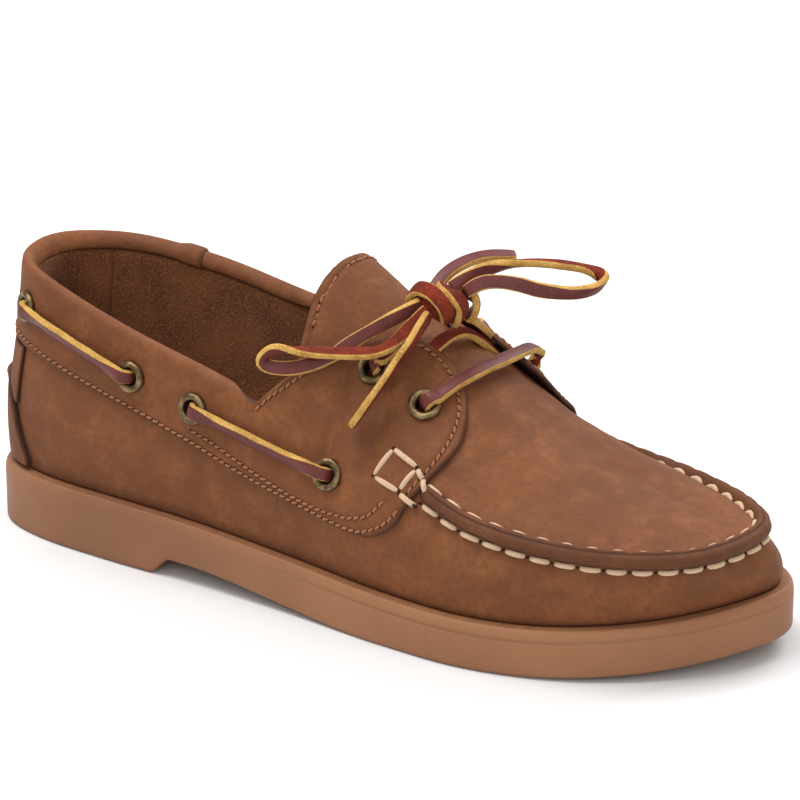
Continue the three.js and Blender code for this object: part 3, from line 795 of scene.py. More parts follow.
def ringed(number: Array) -> Array:
    """A lattice whose columns close on themselves."""
    return np.concatenate([number, number[:1]])


def distance_to(line: Array, points: Array) -> Array:
    """Distances from points to the nearest of a line's closely spaced points.

    Args:
        line: The line's points, in mm.
        points: Where the distance is wanted, in any lattice.

    Returns:
        The distances, in mm, in the same lattice.
    """
    tree = KDTree(len(line))
    for n, point in enumerate(line):
        tree.insert(point, n)
    tree.balance()
    found = [tree.find(point)[2] for point in points.reshape(-1, 3)]
    return np.array(found).reshape(points.shape[:-1])


def dense(points: Array, spacing: float = 0.4) -> Array:
    """The points of a line at an even spacing along it, in mm."""
    run = run_of(points)
    return read_at(np.linspace(0, run[-1], max(2, int(run[-1] / spacing) + 1)), run, points)


def curved(points: Sequence[Sequence[float]], steps: int = 16) -> Array:
    """A smooth curve through given points.

    Args:
        points: The points, of any number of coordinates.
        steps: How many steps there are from one to the next.

    Returns:
        The curve's points.
    """
    p = np.array(points, float)
    p = np.concatenate([2 * p[:1] - p[1:2], p, 2 * p[-1:] - p[-2:-1]])
    f = np.arange(steps)[:, None] / steps
    parts = [spline(p[i], p[i + 1], p[i + 2], p[i + 3], f) for i in range(len(p) - 3)]
    return np.concatenate([*parts, p[-2:-1]])


def dome(distance: Array, radius: float) -> Array:
    """The height of a rounded edge, as a share of its full height, at a distance from the edge."""
    s = np.clip(distance / radius, 0, 1)
    return np.sqrt(1 - (1 - s) ** 2)


# The rows by a strip's edge, in mm from it, and how many times the last of them a full strip is wide.
EDGE_ROWS = (0, 0.12, 0.32, 0.6, 1, 1.6)
FULL_STRIP = 2.6


def graded(width: Array, count: int) -> Array:
    """Places across a strip, close together by both its edges.

    Args:
        width: The strip's width at each column, in mm.
        count: How many places there are between the edges' own.

    Returns:
        The places as shares of the width, by column.
    """
    width = np.maximum(width, 1e-3)[:, None]
    edge = np.array(EDGE_ROWS)[None, :] * np.minimum(1, width / (EDGE_ROWS[-1] * FULL_STRIP)) / width
    inner = edge[:, -1:] + (1 - 2 * edge[:, -1:]) * np.linspace(0, 1, count + 2)[None, 1:-1]
    return np.concatenate([edge, inner, 1 - edge[:, ::-1]], 1)


@dataclass
class Slab:
    """A piece of leather between two lattices, its cut edges rounded down to the lower one."""

    under: Array
    over: Array
    edge_lines: list[Array]
    edge_radius: float = 1.5
    edge_height: float = 0.25
    wear_and_shade: Array | float = 0.0
    edge_wear: float = 0.75

    def net(self, under_finish: int = 0, rim_finish: int = 0) -> Net:
        """Lays out the piece.

        Args:
            under_finish: The material's number on the lower side.
            rim_finish: The material's number on the rims.

        Returns:
            Its net.
        """
        net = Net()
        distance = distance_to(np.concatenate([dense(line) for line in self.edge_lines]), self.over)
        share = self.edge_height + (1 - self.edge_height) * dome(distance, self.edge_radius)
        over = self.under + (self.over - self.under) * share[..., None]
        worn = np.clip(self.wear_and_shade + self.edge_wear * (1 - smooth(distance, 0, self.edge_radius * 1.2)), 0, 1)
        top = net.add(over, worn)
        low = net.add(self.under, self.edge_wear)
        net.join(top)
        net.join(low, under_finish)
        for a, b in ((top[0], low[0]), (top[-1], low[-1]), (top[:, 0], low[:, 0]), (top[:, -1], low[:, -1])):
            net.join(np.stack([a, b], 1), rim_finish)
        return net


def mount(piece: bpy.types.Object, node: str | None = None) -> bpy.types.Object:
    """Seats a finished piece on the frame.

    Args:
        piece: The piece.
        node: The solid that it stands for, if any.

    Returns:
        The piece.
    """
    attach(piece, "root")
    if node:
        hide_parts(node)
    log.info("%s: %d faces", piece.name, len(piece.data.polygons))
    return piece


@dataclass(frozen=True)
class Crease:
    """A soft trough in the leather along a line of ring places and heights. A negative depth is a ridge."""

    line: tuple[tuple[float, float], ...]
    width: float
    depth: float


# The main creases: the facing's two dents, the flexed ball, and the quarter behind it.
CREASES = (
    Crease(((5.76, 1.34), (5.78, 1.2), (5.81, 1.05), (5.8, 0.92)), 3, 2.1),
    Crease(((5.42, 1.32), (5.44, 1.2), (5.46, 1.08), (5.42, 0.9)), 3.2, 1.9),
    Crease(((5.62, 1.1), (5.63, 0.98), (5.6, 0.86)), 4.0, -0.5),
    Crease(((6.6, 0.8), (6.45, 0.62), (6.35, 0.42)), 5.0, 0.6),
    Crease(((7.05, 0.85), (6.95, 0.6), (6.85, 0.35)), 6.0, 0.5),
    Crease(((4.6, 0.4), (4.9, 0.3), (5.3, 0.25)), 6.0, 0.5),
    Crease(((3.3, 0.82), (3.45, 0.72)), 3.0, 0.35),
    Crease(((2.2, 0.95), (2.7, 0.9), (3.2, 0.93)), 5.0, 0.4),
    Crease(((6.9, 1.45), (7.0, 1.7), (7.0, 2.0), (13.0, 1.7), (13.1, 1.45)), 5.5, 0.55),
    Crease(((7.6, 1.35), (7.75, 1.65), (7.8, 2.0), (12.3, 1.65), (12.4, 1.35)), 6.5, 0.4),
    Crease(((14.22, 1.36), (14.2, 1.2), (14.18, 1.05), (14.2, 0.9)), 3.4, 1.0),
    Crease(((14.57, 1.25), (14.56, 1.12), (14.54, 0.98), (14.58, 0.84)), 3.8, 0.8),
    Crease(((13.1, 0.85), (13.2, 0.6), (13.3, 0.35)), 6.0, 0.5),
    Crease(((15.4, 0.4), (15.1, 0.3), (14.7, 0.25)), 6.0, 0.5),
)


@dataclass(frozen=True)
class MocSeam:
    """The hand-sewn moccasin seam: where it runs, and in mm its pitch and its rows' distance from it.

    The leather beside it has a trough up to the height trough_to, a dimple at each hole and a gather
    between them, each given as a depth and a width in mm. They fade out over the ring places fade.
    """

    start: float = 6.37
    end: float = 13.4
    pitch: float = 8.42
    below: float = 4.1
    above: float = 2.6
    trough: tuple[float, float] = (0.45, 3.2)
    dimple: tuple[float, float] = (0.45, 1.1)
    gather: tuple[float, float] = (0.35, 4.5)
    gather_shift: float = 1.5
    trough_to: float = 1.15
    fade: tuple[float, float] = (0.1, 0.15)


class Relief:
    """How the worn leather rises and sinks from the last's face: creases, puckers and sewn rows."""

    GROOVE_WIDTH = 0.8

    def __init__(self, last: Last, moc: MocSeam, rows: Sequence[Array]) -> None:
        """Works out the lines that the leather bends along.

        Args:
            last: The shoe's surface.
            moc: The moccasin seam's sizes.
            rows: The sewn rows, each a line of points in mm.
        """
        self.last = last
        self.moc = moc
        self.lines = [(crease, self.surface_line(crease)) for crease in CREASES]
        self.rows = np.concatenate([dense(row, 0.5) for row in rows])
        self.seam_t = np.linspace(moc.start, moc.end, 700)
        self.seam_run = run_of(last.face(self.seam_t, 1.0))
        self.count = round(self.seam_run[-1] / moc.pitch)
        self.pitch = self.seam_run[-1] / self.count

    def surface_line(self, crease: Crease) -> Array:
        """A crease's line on the last's face, carried over the instep where it changes side."""
        line = np.array(crease.line)
        parts = np.split(line, np.flatnonzero(np.abs(np.diff(line[:, 0])) > 3) + 1)
        return np.concatenate([dense(self.last.face(*curved(part, 8).T), 0.8) for part in parts])

    def seam_share(self, t: Array) -> Array:
        """How near t is to a gap between two hand stitches: 1 at a gap, 0 under a stitch."""
        run = np.interp(t, self.seam_t, self.seam_run)
        return 0.5 + 0.5 * np.cos(2 * math.pi * run / self.pitch)

    def pucker(self, t: Array, v: Array) -> Array:
        """The gathers beside the moccasin seam, in mm.

        Args:
            t: Places round the ring, in turn from 0.
            v: Heights on the rib.

        Returns:
            The offsets.
        """
        moc = self.moc
        below = (1 - v) * self.last.rib_scale(t, -1) - moc.below
        out, within = moc.fade
        near = smooth(t, moc.start - out, moc.start + within)
        near = near * (1 - smooth(t, moc.end - within, moc.end + out))
        trough = bell(below, moc.trough[1]) * (v < moc.trough_to)
        dimple = self.seam_share(t) ** 6 * bell(below, moc.dimple[1])
        gather = self.seam_share(t) * bell(below - moc.gather_shift, moc.gather[1]) * (v < 1)
        return -near * (moc.trough[0] * trough + moc.dimple[0] * dimple + moc.gather[0] * gather)

    def offset(self, t: Array, v: Array) -> Array:
        """How far the leather stands from the last's face, in mm, without the sewn rows.

        Args:
            t: Places round the ring.
            v: Heights on the rib.

        Returns:
            The offsets.
        """
        t, v = np.broadcast_arrays(t, v)
        points = self.last.face(t, v)
        total = self.pucker(np.mod(t, RING), v)
        for crease, line in self.lines:
            total = total - crease.depth * bell(distance_to(line, points), crease.width)
        return total

    def groove(self, points: Array) -> Array:
        """How deeply a point lies in a sewn row's groove, 0 to 1."""
        return bell(distance_to(self.rows, points), self.GROOVE_WIDTH)


@dataclass(frozen=True)
class Edge:
    """A place on the ring, in stations from the heel, and the heights between which a piece lies there."""

    station: float
    low: float
    high: float


THROAT = ((0, 1), (4.68, 1), (5, 1.17), (5.5, 1.48), (5.75, 1.68), (6, 2), (TOE, 2))
SADDLE = (
    Edge(0, 0.65, 1), Edge(1, 0.65, 1), Edge(2, 0.635, 1), Edge(3, 0.605, 1), Edge(4, 0.535, 1),
    Edge(4.68, 0.49, 1), Edge(5, 0.475, 1.16), Edge(5.5, 0.44, 1.47), Edge(5.75, 0.44, 1.66),
    Edge(5.95, 0.5, 1.71), Edge(6.15, 0.67, 1.7), Edge(6.25, 0.85, 1.67), Edge(6.35, 0.99, 1.62),
    Edge(6.5, 1.165, 1.47), Edge(6.56, 1.3, 1.34),
)
TONGUE_EDGE = ((4.87, 1.5), (4.89, 1.25), (4.93, 1.14), (5, 1.06), (5.3, 1.1), (5.7, 1.2), (6.7, 1.3))
HEEL_PATCH = (
    Edge(0, 0.02, 0.43), Edge(0.6, 0.02, 0.41), Edge(1, 0.02, 0.36), Edge(1.2, 0.02, 0.31),
    Edge(1.35, 0.02, 0.25), Edge(1.46, 0.02, 0.18), Edge(1.7, 0.02, 0.05),
)
HEEL_STRIP = (
    Edge(0, 0.45, 0.63), Edge(0.6, 0.43, 0.63), Edge(1, 0.38, 0.63), Edge(1.2, 0.33, 0.63),
    Edge(1.38, 0.3, 0.635),
)
EYELETS = {
    "side_1": (1.41, 0.86), "side_2": (3.17, 0.815), "side_3": (3.98, 0.795), "side_4": (5.49, 0.81),
    "throat_1": (5.62, 1.35), "throat_2": (6.12, 1.345),
}


class Side(Enum):
    """The two sides of the shoe."""

    OUTER = "outer"
    INNER = "inner"


# From this station on, the saddle is longer by this factor on the inner side. Its two halves meet at
# the joint, a ring place.
INNER_REACH_FROM = 4.68
INNER_REACH = 1.12
COLLAR_JOINT = 17.4


def from_saddle(station: Array, side: Side) -> Array:
    """The ring place of a station on the saddle, which reaches further forward on the inner side.

    Args:
        station: Stations from the heel, on the outer side.
        side: The side.

    Returns:
        The places round the ring.
    """
    station = np.asarray(station, float)
    if side is Side.OUTER:
        return station
    return RING - (station + np.maximum(station - INNER_REACH_FROM, 0) * (INNER_REACH - 1))


def on_saddle(t: Array) -> Array:
    """The saddle's own station at places round the ring."""
    station = station_of(t)
    past = np.maximum(station - INNER_REACH_FROM, 0)
    inner = np.mod(t, RING) > TOE
    return np.where(inner, station - past + past / INNER_REACH, station)


# The sewn rows on the saddle, the same on both sides: stations and heights.
SEWN_ROWS = (
    ((0, 0.7), (1.04, 0.7), (1.27, 0.69), (1.9, 0.675), (3.16, 0.628), (3.81, 0.572), (4.44, 0.52),
     (5.02, 0.5), (5.53, 0.468), (5.74, 0.475), (5.88, 0.525), (6, 0.6), (6.1, 0.69), (6.18, 0.79)),
    ((3.95, 0.64), (4.29, 0.62), (4.75, 0.57), (5.28, 0.525), (5.6, 0.545), (5.75, 0.585), (5.88, 0.65),
     (6.02, 0.8)),
    ((6.24, 0.93), (6.3, 1.01), (6.4, 1.13), (6.455, 1.28), (6.43, 1.42), (6.35, 1.52), (6.19, 1.61),
     (6, 1.645), (5.8, 1.62), (5.5, 1.41), (5.2, 1.24), (4.99, 1.115), (4.83, 1.04), (4.7, 0.97)),
)

# The hand stitches of the box by the moccasin seam, from end to end, on the outer side.
BOX = (
    ((5.99, 1.08), (5.87, 0.92)), ((5.99, 1.08), (6.26, 1.07)), ((6.26, 1.06), (6.155, 0.92)),
    ((5.87, 0.92), (6.15, 0.91)),
    ((6.27, 1.065), (6.36, 1.04)), ((6.355, 1.045), (6.43, 1)), ((6.16, 0.9), (6.34, 0.885)),
)


OUTER_FLARE = 0.7
INNER_FLARE = 2.4


def flare(t: Array, v: Array) -> Array:
    """How far the facing's front stands off the vamp, in mm, more on the inner side."""
    amount = np.where(np.mod(t, RING) < TOE, OUTER_FLARE, INNER_FLARE)
    return amount * smooth(on_saddle(t), 5, 5.6) * smooth(v, 1.4, 1.66)


def saddle_lines() -> list[Array]:
    """The saddles' sewn rows as smooth lines of stations and heights."""
    return [curved(row, 12) for row in SEWN_ROWS]


def bake(piece: bpy.types.Object) -> None:
    """Turns a piece's modifiers into its plain mesh."""
    graph = bpy.context.evaluated_depsgraph_get()
    mesh = bpy.data.meshes.new_from_object(piece.evaluated_get(graph))
    piece.modifiers.clear()
    old = piece.data
    piece.data = mesh
    bpy.data.meshes.remove(old)


@dataclass
class Part:
    """What a part is made from: the shoe's surface, its creases and its materials."""

    last: Last
    relief: Relief
    finishes: Finishes

    def hide(self, net: Net, node: str, pins: bpy.types.Object | None = None) -> None:
        """Makes a net a leather piece: grain outside, suede inside and cut edges.

        Args:
            net: The net.
            node: The solid that it stands for, and the end of its own name.
            pins: What cuts the eyelets' holes, if it has any.
        """
        piece = net.build(f"leather_{node}", self.finishes.hide)
        if pins:
            cut = piece.modifiers.new("holes", "BOOLEAN")
            cut.operation = "DIFFERENCE"
            cut.solver = "MANIFOLD"
            cut.object = pins
            bake(piece)
        mount(piece, node)


@dataclass(frozen=True)
class EyeletSizes:
    """A rolled brass eyelet, in mm."""

    outer: float = 11.2
    bore: float = 6.2
    flange: float = 1.3
    seat: float = 0.75
    tube: float = 0.5
    clearance: float = 0.3
    turns: int = 44


@dataclass(frozen=True)
class Seat:
    """Where an eyelet sits: its solid's name, its place on the last, and its axis."""

    node: str
    t: float
    v: float
    point: Array
    axis: Array

    def frame(self) -> tuple[Array, Array]:
        """Two directions across the axis."""
        first = unit(np.cross(self.axis, [0.0, 0.0, 1.0]))
        return first, np.cross(self.axis, first)


class Eyelets:
    """The twelve eyelets, and the pins that cut their holes."""

    def __init__(self, last: Last, finishes: Finishes, sizes: EyeletSizes) -> None:
        """Finds the eyelets' seats on the saddle's face.

        Args:
            last: The shoe's surface.
            finishes: The shoe's materials.
            sizes: An eyelet's sizes.
        """
        self.finishes = finishes
        self.sizes = sizes
        lift = last.sizes.facing
        self.depth = lift + last.sizes.leather
        self.seats: dict[str, Seat] = {}
        for side in Side:
            for name, (station, v) in EYELETS.items():
                node = f"eyelet_{side.value}_{name}"
                t = float(from_saddle(station, side))
                self.seats[node] = Seat(node, t, v, last.lifted(t, v, lift), last.normal(t, v))

    def turned(self, seat: Seat, profile: Array) -> Array:
        """A profile of radius and height turned about a seat's axis.

        Args:
            seat: The seat.
            profile: Radius and height, one row a point.

        Returns:
            The lattice.
        """
        first, second = seat.frame()
        turns = self.sizes.turns
        angle = np.arange(turns)[:, None, None] * 2 * math.pi / turns
        radius, height = profile[None, :, :1], profile[None, :, 1:]
        return seat.point + radius * (np.cos(angle) * first + np.sin(angle) * second) + height * seat.axis

    def build(self) -> None:
        """Makes each eyelet: a tube with a rolled flange that the lace has rubbed."""
        sizes = self.sizes
        bore, rim = sizes.bore / 2, sizes.outer / 2
        wall = bore + sizes.tube
        roll = np.linspace(0, math.pi, 11)
        radius = (rim + bore) / 2 + (rim - bore) / 2 * np.cos(roll)
        crown = np.stack([radius, sizes.seat + sizes.flange * np.sin(roll) ** 0.8], -1)
        tube = [[bore, -self.depth], [wall, -self.depth], [wall, sizes.seat - 0.2]]
        tube += [[rim - 0.5, -0.1], [rim, 0.1]]
        profile = np.concatenate([tube, crown])
        worn = np.concatenate([[1, 1, 1, 0.8, 0.6], 0.5 * (1 - np.sin(roll))])
        for seat in self.seats.values():
            net = Net()
            number = ringed(net.add(self.turned(seat, profile), worn[None, :]))
            net.join(np.concatenate([number, number[:, :1]], 1))
            mount(net.build(f"brass_{seat.node}", [self.finishes.brass]), seat.node)

    def pins(self) -> bpy.types.Object:
        """The pins that cut the leather's holes, as one object that is removed after use."""
        radius = self.sizes.bore / 2 + self.sizes.tube + self.sizes.clearance
        profile = np.array([[radius, -self.sizes.outer], [radius, self.sizes.outer]])
        net = Net()
        for seat in self.seats.values():
            number = net.add(self.turned(seat, profile))
            net.join(ringed(number))
            net.cap(number[:, 0])
            net.cap(number[:, 1])
        return net.build("eyelet_pins", [])


@dataclass
class Upper(Part):
    """The vamp, plug and quarters, one wall from the sole to the throat and collar."""

    columns: int = 600
    rows: int = 68
    crease_shade: float = 0.35
    foot_shade: float = 0.55

    def build(self, pins: bpy.types.Object) -> None:
        """Makes the wall, leather outside and suede inside.

        Args:
            pins: What cuts the eyelets' holes.
        """
        t = np.arange(self.columns)[:, None] * RING / self.columns
        edge = np.interp(station_of(t), *np.array(THROAT).T)
        v = edge * np.linspace(0, 1, self.rows)[None, :]
        t = np.broadcast_to(t, v.shape)
        offset = self.relief.offset(t, v)
        # Painted shade: the wall is darker where it sinks into creases and troughs, and along its foot by the
        # sole.
        seam = smooth(-offset, 0.25, 1.1) * self.crease_shade
        foot = self.foot_shade * (1 - smooth(v, 0, 0.09))
        net = Net()
        outer = ringed(net.add(self.last.lifted(t, v, offset), np.maximum(seam, foot)))
        inner = ringed(net.add(self.last.lifted(t, v, offset - self.last.sizes.leather), 0.2))
        net.join(outer)
        net.join(inner, 1)
        net.join(np.stack([outer[:, 0], inner[:, 0]], 1), 1)
        top = np.stack([outer[:, -1], inner[:, -1]], 1)
        open_columns = np.flatnonzero(np.concatenate([edge[:, 0], edge[:1, 0]]) < 2)
        for n in range(self.columns):
            if n in open_columns or n + 1 in open_columns:
                net.join(top[n:n + 2], 2)
        self.hide(net, "upper", pins)


def parted(rows: Sequence[Edge]) -> tuple[Array, Array]:
    """The smooth lower and upper edge of a piece whose two edges meet at its nose.

    Args:
        rows: The edges, from the heel to the nose.

    Returns:
        Stations and heights of the lower edge, and of the upper one.
    """
    loop = [(r.station, r.low) for r in rows] + [(r.station, r.high) for r in reversed(rows)]
    line = curved(loop, 10)
    nose = int(line[:, 0].argmax())
    return line[:nose + 1], line[nose:][::-1]


@dataclass
class Saddle(Part):
    """The collar band with its eyelet facing, folded over the collar's edge as a roll.

    The roll goes deep inside up to the station roll_deep, is full up to roll_full, and is gone at
    roll_none. At the joint, the outer side's band lies over the inner one's.
    """

    side: Side
    roll_depth: float = 1.8
    roll_deep: float = 3.9
    roll_full: float = 4.25
    roll_none: float = 4.68
    nose_from: float = 6.15
    joint_half: float = 0.02
    joint_overlap: float = 0.18
    joint_lift: float = 1.1
    groove_depth: float = 0.35
    column_step: float = 0.034
    rows: int = 34
    groove_shade: float = 0.45

    DROP_ROWS = (0.02, 0.06, 0.12, 0.25, 0.5, 0.75, 0.88, 0.94, 0.98, 1)

    def columns(self) -> Array:
        """The ring places of the piece's columns, closer together towards its nose."""
        nose = SADDLE[-1].station
        tip = nose - (nose - self.nose_from) * (1 + np.cos(np.linspace(0, math.pi, self.rows))) / 2
        if self.side is Side.OUTER:
            start = COLLAR_JOINT - RING - self.joint_overlap
            return np.concatenate([np.arange(start, self.nose_from - 0.01, self.column_step), tip])
        tip = from_saddle(tip, self.side)[::-1]
        end = COLLAR_JOINT - self.joint_half
        return np.concatenate([tip, np.arange(end, tip[-1] + 0.01, -self.column_step)[::-1]])

    def shell(self, t: Array, v: Array, station: Array, high: Array, radius: float) -> Array:
        """The leg on the side, the roll over the edge and the drop inside, at one height above the wall.

        Args:
            t: Ring places by column and row.
            v: Heights on the leg by column and row.
            station: Each column's station on the saddle.
            high: Each column's upper edge.
            radius: The height above the middle of the wall.

        Returns:
            The lattice.
        """
        middle = -self.last.sizes.leather / 2
        fade = smooth(station, self.roll_deep, self.roll_none)[:, None]
        offset = self.relief.offset(t, v) * np.maximum(fade, smooth(high[:, None] - v, 0, 0.12))
        leg = self.last.lifted(t, v, middle + radius + offset + flare(t, v))
        place = t[:, 0]
        normal = self.last.normal(place, high)
        point = leg[:, -1] - normal * radius
        up = unit(self.last.lifted(place, high, middle) - self.last.lifted(place, high - 0.02, middle))
        fold = math.pi * (1 - np.clip((station - self.roll_full) / (self.roll_none - self.roll_full), 0, 1))
        depth = self.roll_depth * (1 - smooth(station, self.roll_deep, self.roll_full))
        parts = [leg]
        for s in np.linspace(0, 1, 13)[1:]:
            angle = (s * fold)[:, None]
            parts.append((point + normal * np.cos(angle) * radius + up * np.sin(angle) * radius)[:, None])
        inside = parts[-1]
        for s in self.DROP_ROWS:
            parts.append(inside - (up * (depth * s)[:, None])[:, None])
        return np.concatenate(parts, 1)

    def build(self, pins: bpy.types.Object) -> None:
        """Makes the piece.

        Args:
            pins: What cuts the eyelets' holes.
        """
        sizes = self.last.sizes
        place = self.columns()
        station = on_saddle(place)
        low, high = (np.interp(station, *line.T) for line in parted(SADDLE))
        t, v, _ = self.last.strip(place, low, high, self.rows)
        base = sizes.leather / 2 + sizes.gap
        under = self.shell(t, v, station, high, base)
        over = self.shell(t, v, station, high, base + sizes.overlay)
        out = unit(over - under)
        groove = np.zeros(over.shape[:2])
        groove[:, :v.shape[1]] = self.relief.groove(self.last.lifted(t, v, sizes.facing))
        over = over - out * (self.groove_depth * groove)[..., None]
        if self.side is Side.OUTER:
            joint = COLLAR_JOINT - RING
            laid_over = 1 - smooth(place, joint, joint + self.joint_overlap)
            over = over + out * (self.joint_lift * laid_over)[:, None, None]
        edges = [over[:, 0], over[:, -1], over[0], over[-1]]
        # Painted shade: darker along the sewn rows' grooves.
        slab = Slab(under, over, edges, wear_and_shade=self.groove_shade * groove)
        self.hide(slab.net(0, 2), f"saddle_{self.side.value}", pins)


@dataclass
class Tongue(Part):
    """The tongue, under the upper and lifting towards its free end, with a row sewn inside its edge."""

    thickness: float = 2.4
    lift: float = 7
    skew: float = 0.12
    rise_from: float = 1.2
    free: float = 1.1
    clearance: float = 1.9
    end: float = 4.87
    root: float = 6.7
    inset: float = 3.2
    groove_depth: float = 0.3
    groove_shade: float = 0.35
    columns: int = 110
    rows: int = 70

    def lattice(self, station: Array, w: Array, depth: float) -> Array:
        """The tongue's points at a depth under its face.

        Args:
            station: Stations, by column.
            w: Places across, -1 to 1, by row.
            depth: The depth, in mm.

        Returns:
            The lattice.
        """
        edge = np.interp(station, *curved(TONGUE_EDGE, 10).T)[:, None]
        v = 2 - np.abs(w) * (2 - edge)
        station = station[:, None]
        free = (1 - smooth(station, self.end, self.end + self.free)) * smooth(v, self.rise_from, 2)
        lift = free * self.lift - self.last.sizes.leather - self.clearance - depth
        turned = station + self.skew * (1 + w) / 2 * (self.root - station) / (self.root - self.end)
        return self.last.lifted(np.where(w < 0, turned, RING - turned), v, lift)

    def faces(self, station: Array, rows: int) -> tuple[Array, Array, list[Array], Array]:
        """The tongue's two faces at a number of rows.

        Args:
            station: Stations, by column.
            rows: How many rows there are.

        Returns:
            The under face, the upper one, its free edges, and the distances from them.
        """
        w = np.sin(np.linspace(-0.5, 0.5, rows) * math.pi)
        over = self.lattice(station, w, 0)
        edges = [over[0], over[:, 0], over[:, -1]]
        gap = distance_to(np.concatenate([dense(edge) for edge in edges]), over)
        return self.lattice(station, w, self.thickness), over, edges, gap

    def build(self) -> None:
        """Makes the tongue."""
        station = self.end + (self.root - self.end) * np.linspace(0, 1, self.columns) ** 1.6
        under, over, edges, gap = self.faces(station, self.rows)
        # Painted shade: darker along the sewn row's groove inside the edge.
        groove = bell(gap - self.inset, Relief.GROOVE_WIDTH)
        over = over - unit(over - under) * (self.groove_depth * groove)[..., None]
        self.hide(Slab(under, over, edges, wear_and_shade=self.groove_shade * groove, edge_wear=0.5).net(1, 2), "tongue")

    def sewn_line(self) -> tuple[Array, Array]:
        """The line inside the free edge that is sewn, down one side and up the other.

        Returns:
            Its points and outward directions.
        """
        rows, near = 161, 0.35
        under, over, _, gap = self.faces(np.linspace(self.end, self.root, 400), rows)
        out = unit(over - under)
        side_rows = []
        for half in (slice(0, rows // 2), slice(rows // 2 + 1, rows)):
            best = np.abs(gap[:, half] - self.inset).argmin(1) + half.start
            good = np.flatnonzero(np.abs(gap[np.arange(len(gap)), best] - self.inset) < near)
            side_rows.append((over[good, best[good]], out[good, best[good]]))
        (left, left_out), (right, right_out) = side_rows
        return np.concatenate([left[::-1], right]), np.concatenate([left_out[::-1], right_out])


@dataclass
class Lining(Part):
    """The suede lining of the quarters, from the sock to the collar's roll, with a seam down either side."""

    reach: float = 5.3
    foot: float = 0.06
    thickness: float = 0.9
    clearance: float = 0.35
    seam: float = 1.55
    seam_width: float = 0.018
    seam_height: float = 0.5
    top_gap: float = 0.03
    columns: int = 420
    rows: int = 60

    def build(self) -> None:
        """Makes the lining."""
        place = np.linspace(-self.reach, self.reach, self.columns)
        top = np.interp(np.abs(place), *np.array(THROAT).T) - self.top_gap
        v = self.foot + (top - self.foot)[:, None] * np.linspace(0, 1, self.rows)
        t = np.broadcast_to(place[:, None], v.shape)
        ridge = bell(np.abs(t) - self.seam, self.seam_width)
        outer = self.relief.offset(t, v) - self.last.sizes.leather - self.clearance
        under = self.last.lifted(t, v, outer)
        over = self.last.lifted(t, v, outer - self.thickness + self.seam_height * ridge)
        edges = [over[:, -1], over[:, 0]]
        slab = Slab(under, over, edges, edge_radius=0.8, edge_height=0.3, wear_and_shade=0.8 * ridge, edge_wear=0.5)
        mount(slab.net().build("suede_lining", [self.finishes.lining]))


@dataclass
class MocRidge(Part):
    """The rolled edge of the moccasin seam, pinched at each hand stitch, with a fold along its top."""

    start: float = 6.36
    end: float = 13.42
    end_run: float = 0.12
    width: float = 5.5
    height: float = 2.6
    inner_rise: float = 1.1
    pinched_in: float = 0.05
    pinched_down: float = 0.07
    fold_depth: float = 0.22
    fold_at: float = 0.12
    fold_width: float = 0.05
    sunk: float = 0.4
    columns: int = 460
    rows: int = 26

    def build(self) -> None:
        """Makes the ridge."""
        place = np.linspace(self.start, self.end, self.columns)[:, None]
        angle = np.linspace(0, math.pi, self.rows)[None, :]
        pinch = self.relief.seam_share(place) ** 3
        across = -0.5 * np.cos(angle) * (1 - self.pinched_in * pinch)
        fold = self.fold_depth * bell(across - self.fold_at, self.fold_width)
        taper = smooth(place, self.start, self.start + self.end_run)
        taper = taper * (1 - smooth(place, self.end - self.end_run, self.end))
        swell = np.sin(angle) ** 0.55 * (0.96 + 0.1 * np.sin(angle * 0.5 + 0.3)) - fold
        height = self.height + self.inner_rise * smooth(place, 9.8, 11)
        tall = height * swell * (1 - self.pinched_down * pinch) * (0.35 + 0.65 * taper)
        rib = np.where(across < 0, self.last.rib_scale(place, -1), self.last.rib_scale(place, 1))
        v = 1 + across * self.width / rib
        t = np.broadcast_to(place, v.shape)
        base = self.relief.offset(t, v)
        under = self.last.lifted(t, v, base - self.sunk)
        over = self.last.lifted(t, v, base + self.last.sizes.gap + tall)
        # Burnished all over, with painted shade along the ridge's foot on the vamp side and in the fold along
        # its top.
        wear_and_shade = 0.42 + 0.3 * bell(across + 0.5, 0.12) + 0.4 * (fold > 0.1)
        ends = [over[0], over[-1]]
        slab = Slab(under, over, ends, edge_radius=2, edge_height=0.3, wear_and_shade=wear_and_shade, edge_wear=0.3)
        piece = slab.net().build("leather_moc_ridge", [self.finishes.leather])
        mount(piece, "moc_seam_ridge")


@dataclass(frozen=True)
class Overlay:
    """A piece on the heel: the solid it stands for, its edges, its reach in stations, its leather in mm,
    and the height of the lip that its top edge is folded into."""

    node: str
    rows: tuple[Edge, ...]
    reach: float
    thickness: float
    lip: float = 0


